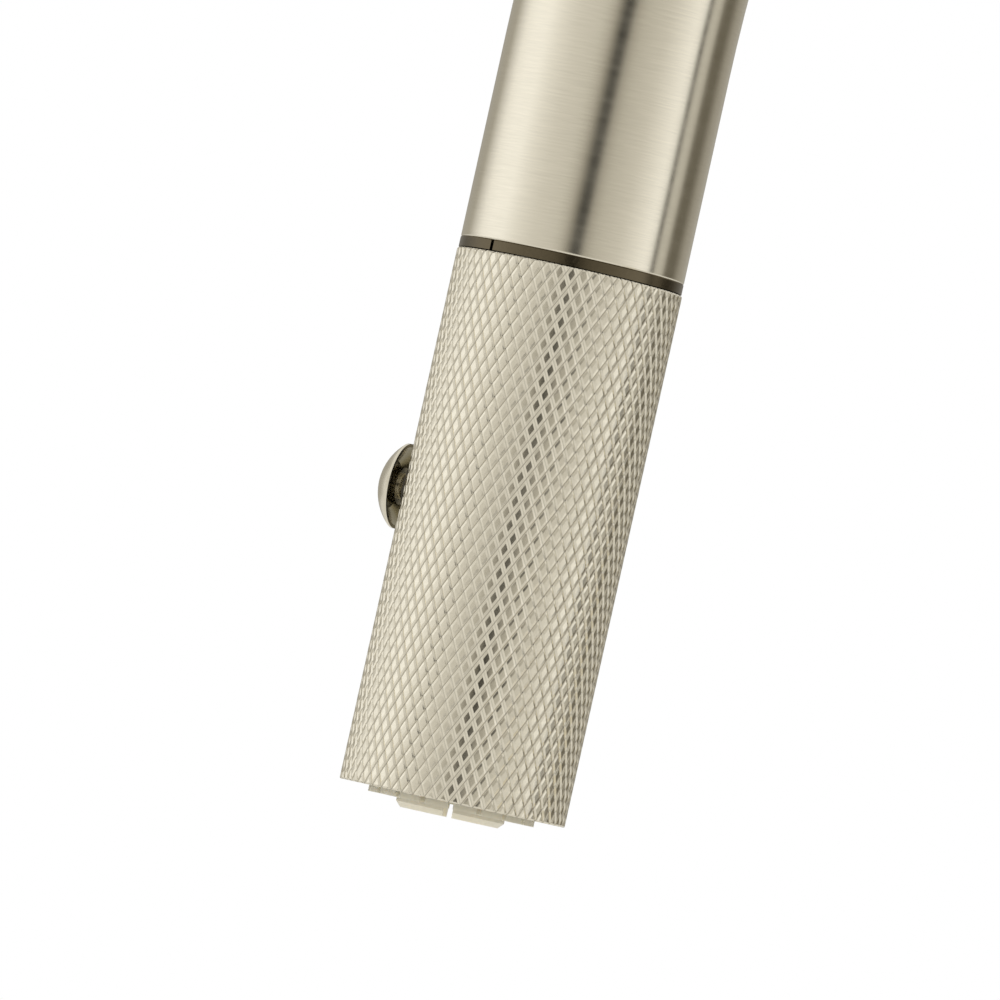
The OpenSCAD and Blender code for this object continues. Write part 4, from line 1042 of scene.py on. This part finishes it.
def light_room(studio):
    """A pale room with a band of soft boxes and dark flags round it, all plain white to the camera."""
    world = bpy.data.worlds.new("room")
    bpy.context.scene.world = world
    world.use_nodes = True
    tree = world.node_tree
    back = tree.nodes["Background"]
    way = add(tree, "ShaderNodeTexCoord").outputs["Generated"]
    parts = add(tree, "ShaderNodeSeparateXYZ", links={0: way})
    bearing = add(
        tree, "ShaderNodeMath", links={0: parts.outputs["Y"], 1: parts.outputs["X"]}, operation="ARCTAN2"
    )
    camera_bearing = studio.azimuth - math.pi / 2
    turned = add(
        tree,
        "ShaderNodeMath",
        {1: 1 / (2 * math.pi), 2: 0.5 - camera_bearing / (2 * math.pi)},
        {0: bearing.outputs[0]},
        operation="MULTIPLY_ADD",
    )
    share = add(tree, "ShaderNodeMath", links={0: turned.outputs[0]}, operation="FRACT")
    levels = add(tree, "ShaderNodeValToRGB", links={0: share.outputs[0]})
    stops = levels.color_ramp.elements
    while len(stops) < len(ROOM_LEVELS):
        stops.new(0.5)
    for stop, (degrees, level) in zip(stops, ROOM_LEVELS):
        stop.position = degrees / 360 + 0.5
        stop.color = (level**WARMTH[0], level, level**WARMTH[1], 1)
    overhead = add(
        tree,
        "ShaderNodeMapRange",
        {"From Min": CEILING_SHARES[0], "From Max": CEILING_SHARES[1]},
        {"Value": parts.outputs["Z"]},
        interpolation_type="SMOOTHSTEP",
    )
    room = add(
        tree, "ShaderNodeMix", {7: CEILING}, {0: overhead.outputs[0], 6: levels.outputs[0]}, data_type="RGBA"
    )
    height = add(
        tree, "ShaderNodeVectorMath", {1: tuple(WAND_UP)}, {0: way}, operation="DOT_PRODUCT"
    ).outputs["Value"]
    off_level = add(tree, "ShaderNodeMath", {1: EYE_LEVEL}, {0: height}, operation="SUBTRACT").outputs[0]
    away = add(tree, "ShaderNodeMath", links={0: off_level}, operation="ABSOLUTE").outputs[0]
    beyond = add(
        tree,
        "ShaderNodeMapRange",
        {"From Min": BAND_SHARES[0], "From Max": BAND_SHARES[1]},
        {"Value": away},
        interpolation_type="SMOOTHSTEP",
    )
    room = add(tree, "ShaderNodeMix", {7: WALL}, {0: beyond.outputs[0], 6: room.outputs[2]}, data_type="RGBA")
    path = add(tree, "ShaderNodeLightPath")
    clear = add(
        tree,
        "ShaderNodeMath",
        links={0: path.outputs["Is Camera Ray"], 1: path.outputs["Is Transmission Ray"]},
        operation="MAXIMUM",
    )
    seen = add(
        tree,
        "ShaderNodeMix",
        {7: (1, 1, 1, 1)},
        {0: clear.outputs[0], 6: room.outputs[2]},
        data_type="RGBA",
    )
    tree.links.new(seen.outputs[2], back.inputs["Color"])
    back.inputs["Strength"].default_value = 1.0


def hang_lamps():
    """Two soft lamps for the matt surfaces and the floor's shadow."""
    target = Vector((0, -0.1, 0.15))
    # Each lamp's place, width in metres and power in watts
    lamps = {"key_lamp": ((1.3, -1.5, 2.0), 1.4, 26.0), "fill_lamp": ((-1.6, 0.9, 1.5), 1.6, 12.0)}
    for name, (place, size, power) in lamps.items():
        data = bpy.data.lights.new(name, "AREA")
        data.shape = "DISK"
        data.size = size
        data.energy = power
        lamp = bpy.data.objects.new(name, data)
        lamp.location = place
        lamp.rotation_euler = (target - Vector(place)).to_track_quat("-Z", "Y").to_euler()
        lamp.visible_glossy = False
        bpy.context.scene.collection.objects.link(lamp)


def place_camera(studio):
    """Camera below and beside the wand, which looks up at a point a little above the sleeve's rim."""
    # Where the rim shows: degrees left of the picture's centre, and down from it
    rim_left, rim_down = 0.22, 1.384
    rim = AT_WAND @ Vector((0, 0, -SLEEVE_LENGTH))
    rim_azimuth = studio.azimuth + math.radians(rim_left)
    rim_elevation = studio.elevation + math.radians(rim_down)
    back = Vector(
        (
            math.sin(rim_azimuth) * math.cos(rim_elevation),
            -math.cos(rim_azimuth) * math.cos(rim_elevation),
            math.sin(rim_elevation),
        )
    )
    data = bpy.data.cameras.new("camera")
    data.lens = data.sensor_width * studio.distance / studio.view_width
    data.clip_start, data.clip_end = 0.05, 50
    camera = bpy.data.objects.new("camera", data)
    camera.location = rim + back * studio.distance
    camera.rotation_euler = Euler((math.pi / 2 - studio.elevation, 0, studio.azimuth))
    bpy.context.scene.collection.objects.link(camera)
    bpy.context.scene.camera = camera


class FAUCET_PT_panel(bpy.types.Panel):
    """Lists the faucet's settings and pieces"""

    bl_idname = "FAUCET_PT_panel"
    bl_label = "Faucet"
    bl_space_type = "VIEW_3D"
    bl_region_type = "UI"
    bl_category = "Faucet"

    def draw(self, context):
        settings = context.scene.faucet
        for group in (settings.knurl, settings.hose, settings.finish, settings.studio):
            part = self.layout.box()
            for name in group.bl_rna.properties.keys():
                if name not in {"rna_type", "name"}:
                    part.prop(group, name)
        for operator in OPERATORS:
            self.layout.operator(operator.bl_idname)


OPERATORS = (
    FAUCET_OT_spout,
    FAUCET_OT_wand_sleeve,
    FAUCET_OT_lever_grip,
    FAUCET_OT_hose,
    FAUCET_OT_turned_nickel,
    FAUCET_OT_fittings,
    FAUCET_OT_studio,
)
CLASSES = (KnurlSizes, HoseSizes, FinishColours, StudioSettings, FaucetSettings, *OPERATORS, FAUCET_PT_panel)


def register():
    for kind in CLASSES:
        bpy.utils.register_class(kind)
    bpy.types.Scene.faucet = PointerProperty(type=FaucetSettings)


def unregister():
    del bpy.types.Scene.faucet
    for kind in reversed(CLASSES):
        bpy.utils.unregister_class(kind)


def main():
    """Registers the add-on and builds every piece."""
    register()
    bpy.ops.faucet.spout()
    bpy.ops.faucet.wand_sleeve()
    bpy.ops.faucet.lever_grip()
    bpy.ops.faucet.hose()
    bpy.ops.faucet.turned_nickel()
    bpy.ops.faucet.fittings()
    bpy.ops.faucet.studio()


if __name__ == "__main__":
    main()
